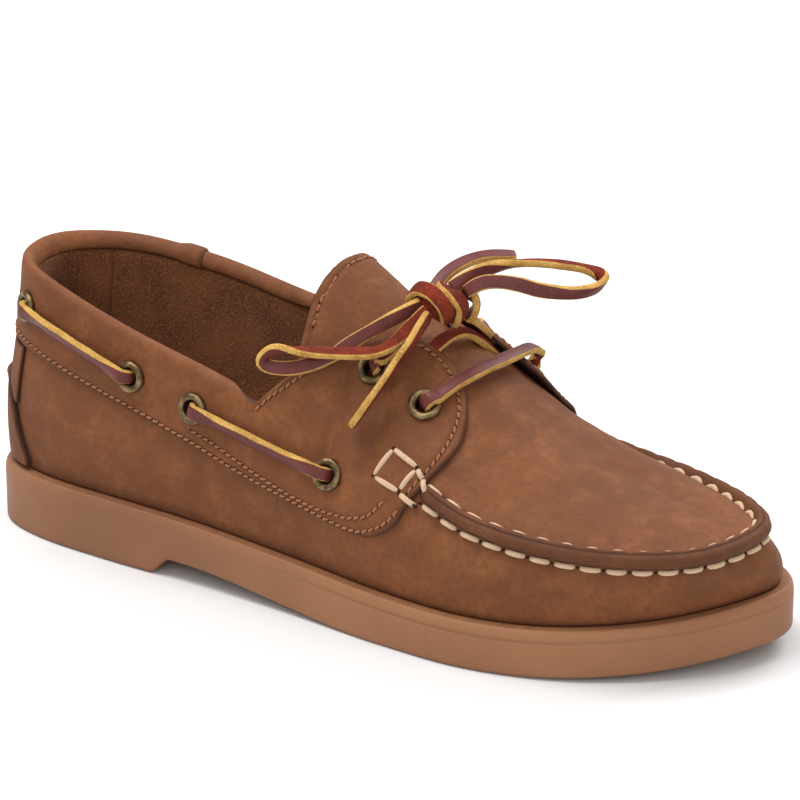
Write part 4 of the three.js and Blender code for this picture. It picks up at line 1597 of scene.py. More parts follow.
@dataclass
class HeelTrim(Part):
    """The heel patch with the folded lip along its top, and the strip above it."""

    lip_width: float = 5
    lip_reach: float = 0.8
    columns: int = 120
    rows: int = 34

    OVERLAYS = (Overlay("heel_patch", HEEL_PATCH, 1.7, 2, 2.2), Overlay("heel_strip", HEEL_STRIP, 1.38, 1.2))

    def build(self) -> None:
        """Makes the patch and the strip."""
        for overlay in self.OVERLAYS:
            place = overlay.reach * np.sin(np.linspace(-0.5, 0.5, self.columns) * math.pi)
            station = np.abs(place)
            stations, lows, highs = np.array([(r.station, r.low, r.high) for r in overlay.rows]).T
            low, high = (np.interp(station, stations, edge) for edge in (lows, highs))
            t, v, below = self.last.strip(place, low, high, self.rows)
            offset = self.relief.offset(t, v) + self.last.sizes.gap
            half = self.lip_width / 2
            bulge = dome(below, half) * (1 - smooth(below, half, self.lip_width))
            roll = overlay.lip * bulge * (1 - smooth(station, self.lip_reach * 0.6, self.lip_reach))[:, None]
            under = self.last.lifted(t, v, offset)
            over = self.last.lifted(t, v, offset + overlay.thickness + roll)
            edges = [over[0], over[-1], over[:, -1]]
            slab = Slab(under, over, edges, edge_radius=1, edge_height=0.35, edge_wear=0.9)
            self.hide(slab.net(2, 2), overlay.node)


@dataclass
class Insole(Part):
    """The suede sock on its board, dished a little towards its middle."""

    thickness: float = 3
    clearance: float = 0.8
    edge_round: float = 1.2
    dish: float = 0.8
    dish_run: float = 14
    rim_shade_run: float = 6
    columns: int = 160
    across: int = 60

    def build(self) -> None:
        """Makes the sock."""
        inset = self.last.sizes.rim_ledge + self.last.sizes.leather + self.clearance
        s = (1 - np.cos(np.linspace(0, math.pi, self.columns))) / 2 * TOE
        near, far = (self.last.outline(t, inset)[0] for t in (s, RING - s))
        w = (1 - np.cos(np.linspace(0, math.pi, self.across))) / 2
        plan = near[:, None] + (far - near)[:, None] * w[None, :, None]
        level = self.last.sole_top(plan[..., 0]) + self.last.sizes.gap
        under = np.concatenate([plan, level[..., None]], -1)
        rim = np.concatenate([under[:, 0], under[::-1, -1]])
        gap = distance_to(dense(rim), under)
        dish = self.dish * (1 - smooth(gap, 0, self.dish_run))
        edge = dome(gap, self.edge_round)
        height = self.thickness * (0.35 + 0.65 * edge) + dish * edge
        over = under + np.stack([0 * height, 0 * height, height], -1)
        net = Net()
        # Painted shade: the sock's top is darker near its rim, by the walls.
        top = net.add(over, 0.3 * (1 - smooth(gap, 0, self.rim_shade_run)))
        low = net.add(under, 0.5)
        net.join(top)
        net.join(low)
        net.join(np.stack([top[:, 0], low[:, 0]], 1))
        net.join(np.stack([top[:, -1], low[:, -1]], 1))
        mount(net.build("suede_insole", [self.finishes.sock]), "insole")


@dataclass
class Outsole(Part):
    """The moulded gum sole: its rim, side wall with a moulding line, heel breast and siped tread.

    The moulding line fades in over the x line_from. The tread is plain from the breast's plain_from to
    its plain_to, in mm along x.
    """

    bevel: float = 4
    bevel_width: float = 1.6
    edge_round: float = 1.5
    line_share: float = 0.15
    line_depth: float = 0.35
    line_width: float = 0.35
    sipe_pitch: float = 6.4
    sipe_width: float = 1.1
    sipe_depth: float = 1.4
    sipe_margin: float = 9
    sipe_flank: float = 1.6
    wave: float = 1.6
    wave_run: float = 9
    line_from: tuple[float, float] = (-20, 10)
    plain_from: tuple[float, float] = (-7, -4)
    plain_to: tuple[float, float] = (55, 60)
    columns: int = 640
    across: int = 120

    def wall(self) -> Array:
        """Insets and heights of the side's profile, from the underside up to the rim.

        Returns:
            One row a point: inset in mm, share of the height between the edges' own rounding, and mm added.
        """
        r = self.edge_round
        turn = np.linspace(math.pi / 2, 0, 6)
        low = [(r * (1 - math.cos(a)), 0.0, r * (1 - math.sin(a))) for a in turn]
        side = [(0.0, s, r * (1 - s) - self.bevel * s) for s in np.linspace(0.03, 1, 26)]
        top = [s * math.pi / 2 for s in np.linspace(0.08, 1, 8)]
        rim = [(self.bevel_width * (1 - math.cos(a)), 1.0, -self.bevel * (1 - math.sin(a))) for a in top]
        return np.array(low + side + rim)

    def tread(self, plan: Array, border: Array) -> Array:
        """How deep the tread's wavy sipes are cut.

        Args:
            plan: Points of the underside, x and y.
            border: Their distance from the underside's edge.

        Returns:
            The depths, in mm.
        """
        wave = self.wave * np.abs(np.mod(plan[..., 1] / self.wave_run, 2) - 1)
        phase = np.mod(plan[..., 0] / self.sipe_pitch + wave, 1)
        off = np.abs(phase - 0.5) * self.sipe_pitch / (self.sipe_width / 2)
        cut = np.clip(self.sipe_flank - off, 0, 1)
        x, breast = plan[..., 0], self.last.along_x(0) + self.last.sizes.heel_breast
        (a, b), (c, d) = ([breast + step for step in steps] for steps in (self.plain_from, self.plain_to))
        solid = smooth(x, a, b) * (1 - smooth(x, c, d))
        return self.sipe_depth * cut * smooth(border, self.sipe_margin - 1, self.sipe_margin) * (1 - solid)

    def build(self) -> None:
        """Makes the sole."""
        t = np.arange(self.columns) * RING / self.columns
        profile = self.wall()
        rings = []
        for inset, share, add in profile:
            point = self.last.outline(t, inset)[0]
            low = self.last.sole_bottom(point[:, 0])
            high = self.last.sole_top(point[:, 0])
            rings.append(np.concatenate([point, (low + share * (high - low) + add)[:, None]], -1))
        side = np.stack(rings, 1)
        height = side[..., 2]
        low, high = height[:, :1], height[:, -1:]
        line = high - self.line_share * (high - low) - 1.5
        mark = bell(height - line, self.line_width) * smooth(side[..., 0], *self.line_from)
        inward = np.concatenate([self.last.outline(t)[1], np.zeros((self.columns, 1))], -1)
        side = side + inward[:, None] * (self.line_depth * mark)[..., None]
        net = Net()
        # Painted shade in the moulding line's groove; the wall is also darker along its lowest 2.5 mm above
        # the floor.
        number = ringed(net.add(side, np.maximum(0.25 * mark, 0.3 * (1 - smooth(height, 0, 2.5)))))
        net.join(number)
        half = self.columns // 2
        order = np.arange(half + 1)
        w = np.linspace(0, 1, self.across)[None, :, None]
        foot, rim = side[:, 0], side[:, -1]
        for loop, steps, treaded in ((foot, w, True), (rim, w[:, ::self.across - 1], False)):
            near, far = loop[order], loop[-order]
            plane = near[:, None] + (far - near)[:, None] * steps
            if treaded:
                border = distance_to(dense(loop, 1.0), plane)
                flat = self.last.sole_bottom(plane[..., 0])
                inside = smooth(border, 0, 0.5)
                level = plane[..., 2] * (1 - inside) + flat * inside
                plane = np.stack([plane[..., 0], plane[..., 1], level + self.tread(plane, border)], -1)
            net.join(net.add(plane, 0.2))
        mount(net.build("gum_outsole", [self.finishes.gum]), "outsole")


class Zone(Enum):
    """The sides of the rawhide lace, by the number of their material."""

    GRAIN = 0
    EDGE = 1
    BACK = 2


@dataclass(frozen=True)
class LaceSizes:
    """The rawhide lace's section, in mm."""

    width: float = 4.6
    thickness: float = 2.7
    corner: float = 0.5
    crown: float = 0.18
    waver: float = 0.06
    end_shrink: float = 0.12


@dataclass
class Ribbon:
    """A length of the lace along a centre line, its grain side turned towards a direction at each point."""

    line: Array
    grain: Array
    sizes: LaceSizes
    seed: int = SEED
    width_share: float = 1.0

    SMOOTHINGS = 3

    def section(self) -> tuple[Array, Array]:
        """The lace's cross section.

        Returns:
            Its points, across and up, and the material's number of each step from one to the next.
        """
        a, b, r = self.sizes.width * self.width_share / 2, self.sizes.thickness / 2, self.sizes.corner
        flat = np.linspace(-1, 1, 9)
        top = [(x * (a - r), b - self.sizes.crown * x * x) for x in flat]
        low = b - self.sizes.crown - r
        turn = [(a - r + r * math.sin(k), low + r * math.cos(k)) for k in (0.5, 1.05, 1.5)]
        side = [(a + 0.1, y * (b - r)) for y in (0.4, -0.1, -0.6)]
        side = [*turn, *side, *[(x, -y) for x, y in reversed(turn)]]
        bottom = [(x, -y) for x, y in reversed(top)]
        right = [*top, *side]
        left = [(-x, y) for x, y in reversed(side)]
        points = np.array([*right, *bottom, *left])
        zone = np.full(len(points), Zone.EDGE.value)
        zone[:len(top)] = zone[-1] = Zone.GRAIN.value
        zone[len(right) - 1:len(right) + len(bottom)] = Zone.BACK.value
        return points, zone

    def into(self, net: Net) -> None:
        """Adds the length to a net, closed at its ends."""
        line = dense(self.line, 0.9)
        run = np.linspace(0, 1, len(line))
        ahead = unit(np.gradient(line, axis=0))
        grain = read_at(run, np.linspace(0, 1, len(self.grain)), self.grain)
        up = unit(grain - ahead * (grain * ahead).sum(-1, keepdims=True))
        for _ in range(self.SMOOTHINGS):
            up = unit(np.concatenate([up[:1], up[:-2] + 2 * up[1:-1] + up[2:], up[-1:]]))
        across = np.cross(ahead, up)
        section, zone = self.section()
        rng = np.random.default_rng(self.seed)
        knots = max(4, len(line) // 6)
        wavers = [1 + self.sizes.waver * curved(rng.uniform(-1, 1, (knots, 1)), 8) for _ in range(2)]
        wide, tall = (read_at(run, np.linspace(0, 1, len(w)), w)[:, :, None] for w in wavers)
        section_x, section_y = section[None, :, :1], section[None, :, 1:]
        points = line[:, None] + across[:, None] * section_x * wide + up[:, None] * section_y * tall
        from_end = np.minimum(np.arange(len(line)), np.arange(len(line))[::-1])
        shrink = 1 - self.sizes.end_shrink * np.exp(-from_end / 0.7)
        points = line[:, None] + (points - line[:, None]) * shrink[:, None, None]
        number = net.add(points)
        number = np.concatenate([number, number[:, :1]], 1)
        net.join(number, zone)
        for end in (0, -1):
            net.cap(number[end, :-1], Zone.EDGE.value)


@dataclass(frozen=True)
class FreeLength:
    """A free length of the lace: its route in the shoe's own mm, and where its grain side faces."""

    node: str
    route: tuple[tuple[float, float, float], ...]
    grain: tuple[tuple[float, float, float], ...]
    ends_in: str


FREE_LENGTHS = (
    FreeLength("lace_loop_outer", (
        (25, -14.4, 107.4), (20.4, -18.3, 104.3), (15.3, -21.4, 100.9), (7, -26.3, 95), (0.1, -31.4, 89.4),
        (-8.7, -36.2, 85.8), (-16.3, -39, 85), (-20.3, -40.7, 86.5), (-19.4, -40.2, 89.5),
        (-15.2, -38.7, 91.6), (-3.6, -36.2, 91.9), (8.7, -33.6, 92.8), (17.5, -31.1, 94.1),
        (22.9, -27.9, 97.2), (26, -23.6, 101.6), (29.2, -17.8, 106.7)),
        ((0.3, -0.8, -0.5), (0.2, -0.7, 0.2), (0.3, -0.8, 0.5), (1, -0.3, 0.1), (0.1, 0.3, -0.9),
         (0.1, 0.4, -0.9), (-0.6, 0.3, -0.5)), "object"),
    FreeLength("lace_tail_outer", (
        (30, -18.5, 105.3), (29.6, -23.2, 102.1), (28.4, -27.6, 97.7), (26.2, -32.3, 92.5), (23.8, -36, 87),
        (19.5, -39.8, 79.4), (14.9, -42.7, 71.4)),
        ((-1, -0.3, -0.1), (-1, -0.3, -0.1)), "bare"),
    FreeLength("lace_loop_inner", (
        (32.2, -7.1, 111.8), (36.5, -2, 115.2), (42.1, 4.6, 117.4), (49.8, 10.7, 118.3), (58.8, 15.7, 118),
        (68.6, 19.6, 116.7), (74.6, 19.8, 114.7), (74.3, 16.1, 112.2), (69.1, 10.2, 111.2),
        (60.4, 4.4, 112.2), (53.6, 0.2, 114.4), (47.2, -3.1, 115.3), (42.5, -6.1, 114.6),
        (38.6, -8.4, 111.8)),
        ((0.4, -0.8, 0.3), (0.3, -0.8, -0.2), (0.1, -0.2, -1), (0, 0, -1), (0.7, 0.2, -0.7),
         (0.6, -0.7, -0.3), (0.5, -0.8, 0.1), (0.4, -0.8, 0.3), (0.4, -0.7, 0.5)), "object"),
    FreeLength("lace_tail_inner", (
        (26.5, -8.5, 110.5), (27.4, -2, 114.4), (30.7, 5.3, 117.1), (35.5, 11.6, 118.2), (42.4, 18.4, 117.6)),
        ((0.2, -0.3, 0.95), (0.2, -0.2, 0.95)), "bare"),
)

# The turns of the bow's knot, each a route with its red suede side out.
KNOT_TURNS = (
    ((17.7, -10.4, 106.5), (19.3, -11.8, 109.7), (23.6, -14.1, 112.8), (29.9, -16.1, 112.7),
     (34.5, -17, 109.9), (35.9, -15.5, 105.9), (34, -11.6, 101.5)),
    ((27.7, -3.8, 111.5), (32, -9.5, 112.1), (37.3, -12.2, 111.8), (40.4, -12, 108.1), (38.5, -9.5, 103.4),
     (34.9, -5.8, 99.6)),
    ((33.8, 0.2, 109.6), (38.7, -1.8, 109.6), (41.6, -3.6, 107.4), (40.7, -3.2, 103.7), (37.2, -1.6, 100.5)),
)
KNOT_CENTRE = (28, -10, 106.3)
KNOT_HALF_SIZES = (8.8, 5.4, 4.1)
KNOT_TILT = 0.5
KNOT_SCALE = 0.9
KNOT_WIDTH = 1.15

# The strands over the tongue, each with the eyelets that it starts and ends in, if any.
REAR_STRANDS = (
    ("eyelet_outer_throat_1", None,
     ((18.4, -30, 91.1), (21.6, -23.7, 95.7), (24.7, -18.5, 100.9), (26.4, -13.6, 104.3))),
    (None, "eyelet_inner_throat_1",
     ((32.6, -4.3, 103.4), (35.1, 3.5, 98), (35.1, 11.9, 91.6), (32.7, 19.4, 86.5))),
)
UNDER_STRAND = ((26, -20, 86.5), (28.6, -11.5, 91.8), (31, -4.1, 94.3), (33.4, 1.9, 93.6), (35.5, 8.6, 89.1),
                (38.4, 15.9, 82.1))
FRONT_STRAND = ((38.6, -27.5, 81.2), (41.4, -20.6, 83.9), (44.6, -10.8, 86), (46.8, 0.5, 86.5),
                (48, 12.2, 86.3), (47.7, 21.3, 85), (47, 27.9, 81.4))


@dataclass
class Laces:
    """The rawhide lace: its bow, its runs through the eyelets, and the crossings over the tongue."""

    last: Last
    finishes: Finishes
    seats: dict[str, Seat]
    sizes: LaceSizes = LaceSizes()
    run_lift: float = 3.6
    run_tilt: float = 0.65

    # The way out of a bore: mm across, mm up, and how far the grain has turned up.
    WAY_OUT = ((0.0, -3.4, 0.0), (0.0, -0.6, 0.0), (0.3, 1.4, 0.35), (1.3, 2.9, 0.9), (3.2, 3.3, 1.0))

    def placed(self, points: Sequence[Sequence[float]]) -> Array:
        """Points given on the shoe's own sizes, moved across with it."""
        return np.array(points, float) + [0, self.last.shift, 0]

    def rawhide(self, net: Net, name: str, node: str) -> bpy.types.Object:
        """Makes a net a piece of the lace, under its own name, that stands for a solid."""
        return mount(net.build(f"rawhide_{name}", self.finishes.lace), node)

    def free_lengths(self, knot: bpy.types.Object) -> None:
        """Makes the bow's two loops and two tails.

        Args:
            knot: The knot that they come out of. Not used.
        """
        for n, free in enumerate(FREE_LENGTHS):
            line = curved(self.placed(free.route))
            net = Net()
            Ribbon(line, np.array(free.grain), self.sizes, SEED + n).into(net)
            piece = self.rawhide(net, free.node, free.node)
            path = (dense(line, 2.0) * MM).tolist()
            float(run_of(line)[-1]) * MM
            self.sizes.width * MM

    def knot(self) -> bpy.types.Object:
        """Makes the knot's turns and the leather packed inside them."""
        net = Net()
        centre = self.placed([KNOT_CENTRE])[0]
        for n, turn in enumerate(KNOT_TURNS):
            line = centre + (curved(self.placed(turn)) - centre) * KNOT_SCALE
            Ribbon(line, centre - dense(line, 2.0), self.sizes, SEED + 10 + n, KNOT_WIDTH).into(net)
        u = (np.arange(48) * 2 * math.pi / 48)[:, None]
        v = np.linspace(0, math.pi, 25)[None, :]
        ball = np.stack([np.cos(u) * np.sin(v), np.sin(u) * np.sin(v), np.cos(v) + 0 * u], -1)
        lumps = 1 + 0.07 * np.sin(3 * u + 4 * v) * np.sin(v) + 0.05 * np.sin(7 * u - 3 * v) * np.sin(v)
        ball = ball * KNOT_HALF_SIZES * lumps[..., None]
        c, s = math.cos(KNOT_TILT), math.sin(KNOT_TILT)
        x, y, z = np.moveaxis(ball, -1, 0)
        turned = np.stack([x * c + z * s, y, z * c - x * s], -1)
        net.join(ringed(net.add(turned + centre)), Zone.BACK.value)
        return self.rawhide(net, "knot", "lace_knot")

    def bore(self, seat: Seat, away: Array) -> tuple[Array, Array]:
        """The lace's way out of an eyelet and over its flange.

        Args:
            seat: The eyelet.
            away: The direction of the run that it starts.

        Returns:
            Points from inside the bore outwards, and the directions of the grain there.
        """
        away = unit(away - seat.axis * (away @ seat.axis))
        across, height, lean = np.array(self.WAY_OUT).T[:, :, None]
        points = seat.point + across * away + height * seat.axis
        return points, lean * seat.axis - (1 - lean) * away

    def threaded(self, first: Seat | None, middle: Array, grain: Array, last: Seat | None) -> Ribbon:
        """A length from one bore to another through given points.

        Args:
            first: The eyelet that it starts in, if any.
            middle: The points between.
            grain: The grain's direction at each of them.
            last: The eyelet that it ends in, if any.

        Returns:
            The length.
        """
        points, facing = [middle], [grain]
        if first is not None:
            out, turned = self.bore(first, middle[0] - first.point)
            points.insert(0, out)
            facing.insert(0, turned)
        if last is not None:
            out, turned = self.bore(last, middle[-1] - last.point)
            points.append(out[::-1])
            facing.append(turned[::-1])
        line = curved(np.concatenate(points))
        run = run_of(line)
        spread = read_at(np.linspace(0, run[-1], 80), run, curved(np.concatenate(facing)))
        return Ribbon(line, spread, self.sizes)

    def side_run(self, name: str, start: Seat, stop: Seat) -> None:
        """Makes a run along the quarter between two eyelets."""
        s = np.linspace(0.22, 0.78, 7)
        t, v = start.t + (stop.t - start.t) * s, start.v + (stop.v - start.v) * s
        points = self.last.lifted(t, v, self.run_lift + 0.3 * np.sin(s * 9))
        net = Net()
        self.threaded(start, points, self.last.normal(t, v) - [0, 0, self.run_tilt], stop).into(net)
        self.rawhide(net, name, name)

    def crossings(self) -> None:
        """Makes the two crossings over the tongue, and the strand that passes under the quarters."""
        seats = self.seats
        net = Net()
        for first, last, route in REAR_STRANDS:
            points = self.placed(route)
            up = np.tile([0.35, 0.0, 0.94], (len(points), 1))
            self.threaded(seats.get(first), points, up, seats.get(last)).into(net)
        under = np.tile([-0.4, 0, -0.9], (2, 1))
        Ribbon(curved(self.placed(UNDER_STRAND)), under, self.sizes).into(net)
        self.rawhide(net, "crossing_rear", "lace_crossing_rear")
        net = Net()
        points = self.placed(FRONT_STRAND)
        up = np.tile([0.3, 0.0, 0.95], (len(points), 1))
        self.threaded(seats["eyelet_outer_throat_2"], points, up, seats["eyelet_inner_throat_2"]).into(net)
        self.rawhide(net, "crossing_front", "lace_crossing_front")

    def build_runs(self) -> None:
        """Makes everything but the bow."""
        for side in Side:
            for part, start, stop in (("rear", "side_1", "side_2"), ("front", "side_3", "side_4")):
                first, second = (self.seats[f"eyelet_{side.value}_{eyelet}"] for eyelet in (start, stop))
                self.side_run(f"lace_side_{side.value}_{part}", first, second)
        self.crossings()


@dataclass
class StitchRow:
    """A row of stitches: where each lies, where it runs, where out is, and its share of the length."""

    points: list[Array] = field(default_factory=list)
    along: list[Array] = field(default_factory=list)
    out: list[Array] = field(default_factory=list)
    span: list[Array] = field(default_factory=list)

    def add(self, points: Array, along: Array, out: Array, span: Array | float = 1.0) -> None:
        """Adds stitches.

        Args:
            points: Their middles, in mm.
            along: Their directions.
            out: The surface's directions there.
            span: Their lengths' shares of the usual one.
        """
        self.points.append(points)
        self.along.append(unit(along))
        self.out.append(unit(out))
        self.span.append(np.broadcast_to(span, len(points)))


@dataclass(frozen=True)
class StitchSizes:
    """One kind of stitch, in mm."""

    length: float
    width: float
    rise: float
    wander: float = 0.08


class StitchTree(Graph):
    """The Geometry Nodes tree that sets a short piece of thread on every point of a row.

    The thread is a bow of STEPS steps and SIDES sides. Its ends sink into the leather by SUNK of its
    width, and its handles lie at NEAR of its length and CREST of its rise. It tapers to TIP.
    """

    INPUTS = (("Length", "NodeSocketFloat"), ("Width", "NodeSocketFloat"), ("Rise", "NodeSocketFloat"),
              ("Wander", "NodeSocketFloat"), ("Seed", "NodeSocketInt"), ("Thread", "NodeSocketMaterial"))
    STEPS = 10
    SIDES = 8
    SUNK = -0.6
    NEAR = 0.36
    CREST = 1.33
    TAPER = 0.6
    TIP = 0.14

    def __init__(self) -> None:
        """Builds the tree."""
        super().__init__(bpy.data.node_groups.new("stitches", "GeometryNodeTree"))
        self.tree.is_modifier = True
        face = self.tree.interface
        face.new_socket("Geometry", in_out="INPUT", socket_type="NodeSocketGeometry")
        self.identifiers = {
            name: face.new_socket(name, in_out="INPUT", socket_type=kind).identifier
            for name, kind in self.INPUTS
        }
        face.new_socket("Geometry", in_out="OUTPUT", socket_type="NodeSocketGeometry")
        source = self.tree.nodes.new("NodeGroupInput")
        names = ("Geometry", *self.identifiers)
        self.fill({name: Socket(self, source.outputs[name]) for name in names})

    def point(self, x: Socket, z: Socket) -> Socket:
        """A point in the stitch's own upright plane."""
        return self.node("ShaderNodeCombineXYZ", {}, {"X": x, "Z": z})

    def read(self, name: str, kind: str = "FLOAT_VECTOR") -> Socket:
        """An attribute of the row's points."""
        return self.node("GeometryNodeInputNamedAttribute", {"data_type": kind}, {"Name": name}, "Attribute")

    def thread(self, given: dict[str, Socket]) -> Socket:
        """Makes one stitch's thread.

        Args:
            given: The tree's inputs.

        Returns:
            The thread's mesh.
        """
        width, half, near = given["Width"], given["Length"] * 0.5, given["Length"] * self.NEAR
        sink, crest = width * self.SUNK, given["Rise"] * self.CREST
        bend = self.node("GeometryNodeCurvePrimitiveBezierSegment", {"mode": "POSITION"}, {
            "Resolution": self.STEPS, "Start": self.point(half * -1, sink), "End": self.point(half, sink),
            "Start Handle": self.point(near * -1, crest), "End Handle": self.point(near, crest)})
        ring = self.node("GeometryNodeCurvePrimitiveCircle", {},
                         {"Resolution": self.SIDES, "Radius": width * 0.5})
        share = self.node("GeometryNodeSplineParameter", {}, {}, "Factor")
        taper = (share * (1.0 - share) * 4.0) ** self.TAPER
        full = taper * (1 - self.TIP) + self.TIP
        swollen = self.node("GeometryNodeSetCurveRadius", {}, {"Curve": bend, "Radius": full})
        return self.node("GeometryNodeCurveToMesh", {}, {0: swollen, 1: ring, "Fill Caps": True})

    def fill(self, given: dict[str, Socket]) -> None:
        """Sets the thread on the points, and turns it to lie along the seam.

        Args:
            given: The tree's inputs.
        """
        points = self.node("GeometryNodeMeshToPoints", {}, {"Mesh": given["Geometry"]})
        lie = self.node("FunctionNodeAlignRotationToVector", {"axis": "X"}, {"Vector": self.read("along")})
        stand = self.node("FunctionNodeAlignRotationToVector", {"axis": "Z", "pivot_axis": "X"},
                          {"Rotation": lie, "Vector": self.read("out")})
        size = self.node("FunctionNodeRandomValue", {"data_type": "FLOAT_VECTOR"}, {
            "Min": 1.0 - given["Wander"], "Max": 1.0 + given["Wander"], "Seed": given["Seed"]})
        reach = self.node("ShaderNodeCombineXYZ", {}, {"X": self.read("span", "FLOAT"), "Y": 1.0, "Z": 1.0})
        scale = self.node("ShaderNodeVectorMath", {"operation": "MULTIPLY"}, {0: size, 1: reach})
        laid = self.node("GeometryNodeInstanceOnPoints", {}, {
            "Points": points, "Instance": self.thread(given), "Rotation": stand, "Scale": scale})
        real = self.node("GeometryNodeRealizeInstances", {}, {0: laid})
        smoothed = self.node("GeometryNodeSetShadeSmooth", {}, {0: real})
        dressed = self.node("GeometryNodeSetMaterial", {}, {0: smoothed, "Material": given["Thread"]})
        end = self.tree.nodes.new("NodeGroupOutput")
        self.feed(end.inputs[0], dressed)

    def sew(self, name: str, row: StitchRow, sizes: StitchSizes, thread: bpy.types.Material) -> None:
        """Makes a row's stitches as one plain mesh.

        Args:
            name: The piece's name.
            row: The stitches.
            sizes: Their sizes.
            thread: Their material.
        """
        mesh = bpy.data.meshes.new(name)
        mesh.from_pydata((np.concatenate(row.points) * MM).tolist(), [], [])
        for key, kind, field_name, parts in (("along", "FLOAT_VECTOR", "vector", row.along),
                                             ("out", "FLOAT_VECTOR", "vector", row.out),
                                             ("span", "FLOAT", "value", row.span)):
            layer = mesh.attributes.new(key, kind, "POINT")
            layer.data.foreach_set(field_name, np.concatenate(parts).astype(np.float32).reshape(-1))
        piece = in_scene(name, mesh)
        sewn = piece.modifiers.new("stitches", "NODES")
        sewn.node_group = self.tree
        values = {"Length": sizes.length * MM, "Width": sizes.width * MM, "Rise": sizes.rise * MM,
                  "Wander": sizes.wander, "Seed": SEED, "Thread": thread}
        for key, value in values.items():
            sewn[self.identifiers[key]] = value
        bake(piece)
        mount(piece)


@dataclass
class Sewing(Part):
    """Every row of stitches on the shoe, with dark dots of painted shade for the needle's holes between them.
    """

    tree: StitchTree
    machine: StitchSizes = StitchSizes(2.3, 0.85, 0.5)
    machine_hole_shade: StitchSizes = StitchSizes(0.8, 0.7, 0.2)
    hand: StitchSizes = StitchSizes(5.2, 1.9, 0.75, 0.05)
    hand_hole_shade: StitchSizes = StitchSizes(1.7, 1.2, 0.3, 0.15)
    pitch: float = 2.75
    slant: float = 0.22
    machine_sink: float = 0.35
    hole_rise: float = 0.05
    hand_lift: float = 0.2
    hand_hole_lift: float = -0.25
    box_span: float = 0.83
    box_hole_sink: float = 0.3
    tongue_sink: float = 0.25

    def both(self, name: str, rows: Sequence[StitchRow], by_hand: bool) -> None:
        """Sews a row of stitches and the row of its holes as dark dots of painted shade, by hand in cream or
        by machine in tan.
        """
        sizes = (self.hand, self.hand_hole_shade) if by_hand else (self.machine, self.machine_hole_shade)
        thread = self.finishes.cream if by_hand else self.finishes.tan
        self.tree.sew(f"thread_{name}", rows[0], sizes[0], thread)
        self.tree.sew(f"holes_{name}", rows[1], sizes[1], self.finishes.hole_shade)

    def spaced(self, line: Array, side: Side, lift: float, shift: float = 0.5) -> tuple[Array, Array, Array]:
        """Stitch places at an even pitch along a line on the leather.

        Args:
            line: The line's stations and heights.
            side: The side that it is on.
            lift: Its height above the last's face, in mm.
            shift: The first one's place, in pitches from the line's start.

        Returns:
            Points, directions along the line, and outward directions.
        """
        t, v = from_saddle(line[:, 0], side), line[:, 1]
        run = run_of(self.last.face(t, v))
        count = max(1, round(run[-1] / self.pitch))
        places = (np.arange(count) + shift) * run[-1] / count
        (t0, v0), (t1, v1), (t2, v2) = (
            [np.interp(places + step, run, k) for k in (t, v)] for step in (-0.5, 0, 0.5))
        out = self.last.normal(t1, v1)
        along = unit(self.last.face(t2, v2) - self.last.face(t0, v0))
        points = self.last.lifted(t1, v1, lift + self.relief.offset(t1, v1) + flare(t1, v1))
        return points, along + self.slant * np.cross(out, along), out

    def saddle_rows(self) -> None:
        """Sews the saddles' rows."""
        lift = self.last.sizes.facing - self.machine_sink
        row, holes = StitchRow(), StitchRow()
        for side in Side:
            for line in saddle_lines():
                row.add(*self.spaced(line, side, lift))
                holes.add(*self.spaced(line, side, lift + self.hole_rise, 0))
        self.both("saddles", (row, holes), False)

    def box(self, row: StitchRow, holes: StitchRow) -> None:
        """Adds the boxes' hand stitches to a row, and their holes as dark dots of painted shade."""
        ends = np.array(BOX)
        for side in Side:
            t, v = from_saddle(ends[..., 0], side), ends[..., 1]
            points = self.last.lifted(t, v, self.last.sizes.facing + self.relief.offset(t, v))
            along = points[:, 1] - points[:, 0]
            span = self.box_span * length(along) / self.hand.length
            out = self.last.normal(t.mean(1), v.mean(1))
            row.add(points.mean(1), along, out, span)
            for end in (0, 1):
                holes.add(points[:, end] - out * self.box_hole_sink, along, out, 0.8)

    def hand_rows(self) -> None:
        """Sews the moccasin seam's cream stitches, on the vamp's side and on the plug's, and the boxes."""
        relief, moc = self.relief, self.relief.moc
        row, holes = StitchRow(), StitchRow()
        for target, shift, lift in ((row, 0.5, self.hand_lift), (holes, 0.0, self.hand_hole_lift)):
            run = (np.arange(relief.count) + shift) * relief.pitch
            t = np.interp(run, relief.seam_run, relief.seam_t)
            for sign, reach in ((-1, moc.below), (1, moc.above)):
                v = 1 + sign * reach / self.last.rib_scale(t, sign)
                points = self.last.lifted(t, v, relief.offset(t, v) + lift)
                along = self.last.face(t + 0.05, v) - self.last.face(t - 0.05, v)
                target.add(points, along, self.last.normal(t, v))
        self.box(row, holes)
        self.both("moc_seam", (row, holes), True)

    def tongue_row(self, tongue: Tongue) -> None:
        """Sews the row inside the tongue's edge."""
        line, out = tongue.sewn_line()
        run = run_of(line)
        row, holes = StitchRow(), StitchRow()
        for target, shift in ((row, 0.5), (holes, 0.0)):
            places = np.arange(self.pitch * shift, run[-1], self.pitch)
            points, facing = (read_at(places, run, rows) for rows in (line, out))
            ahead = read_at(places + 0.5, run, line)
            target.add(points - unit(facing) * self.tongue_sink, ahead - points, facing)
        self.both("tongue", (row, holes), False)

    def build(self, tongue: Tongue) -> None:
        """Sews everything."""
        self.saddle_rows()
        self.hand_rows()
        self.tongue_row(tongue)


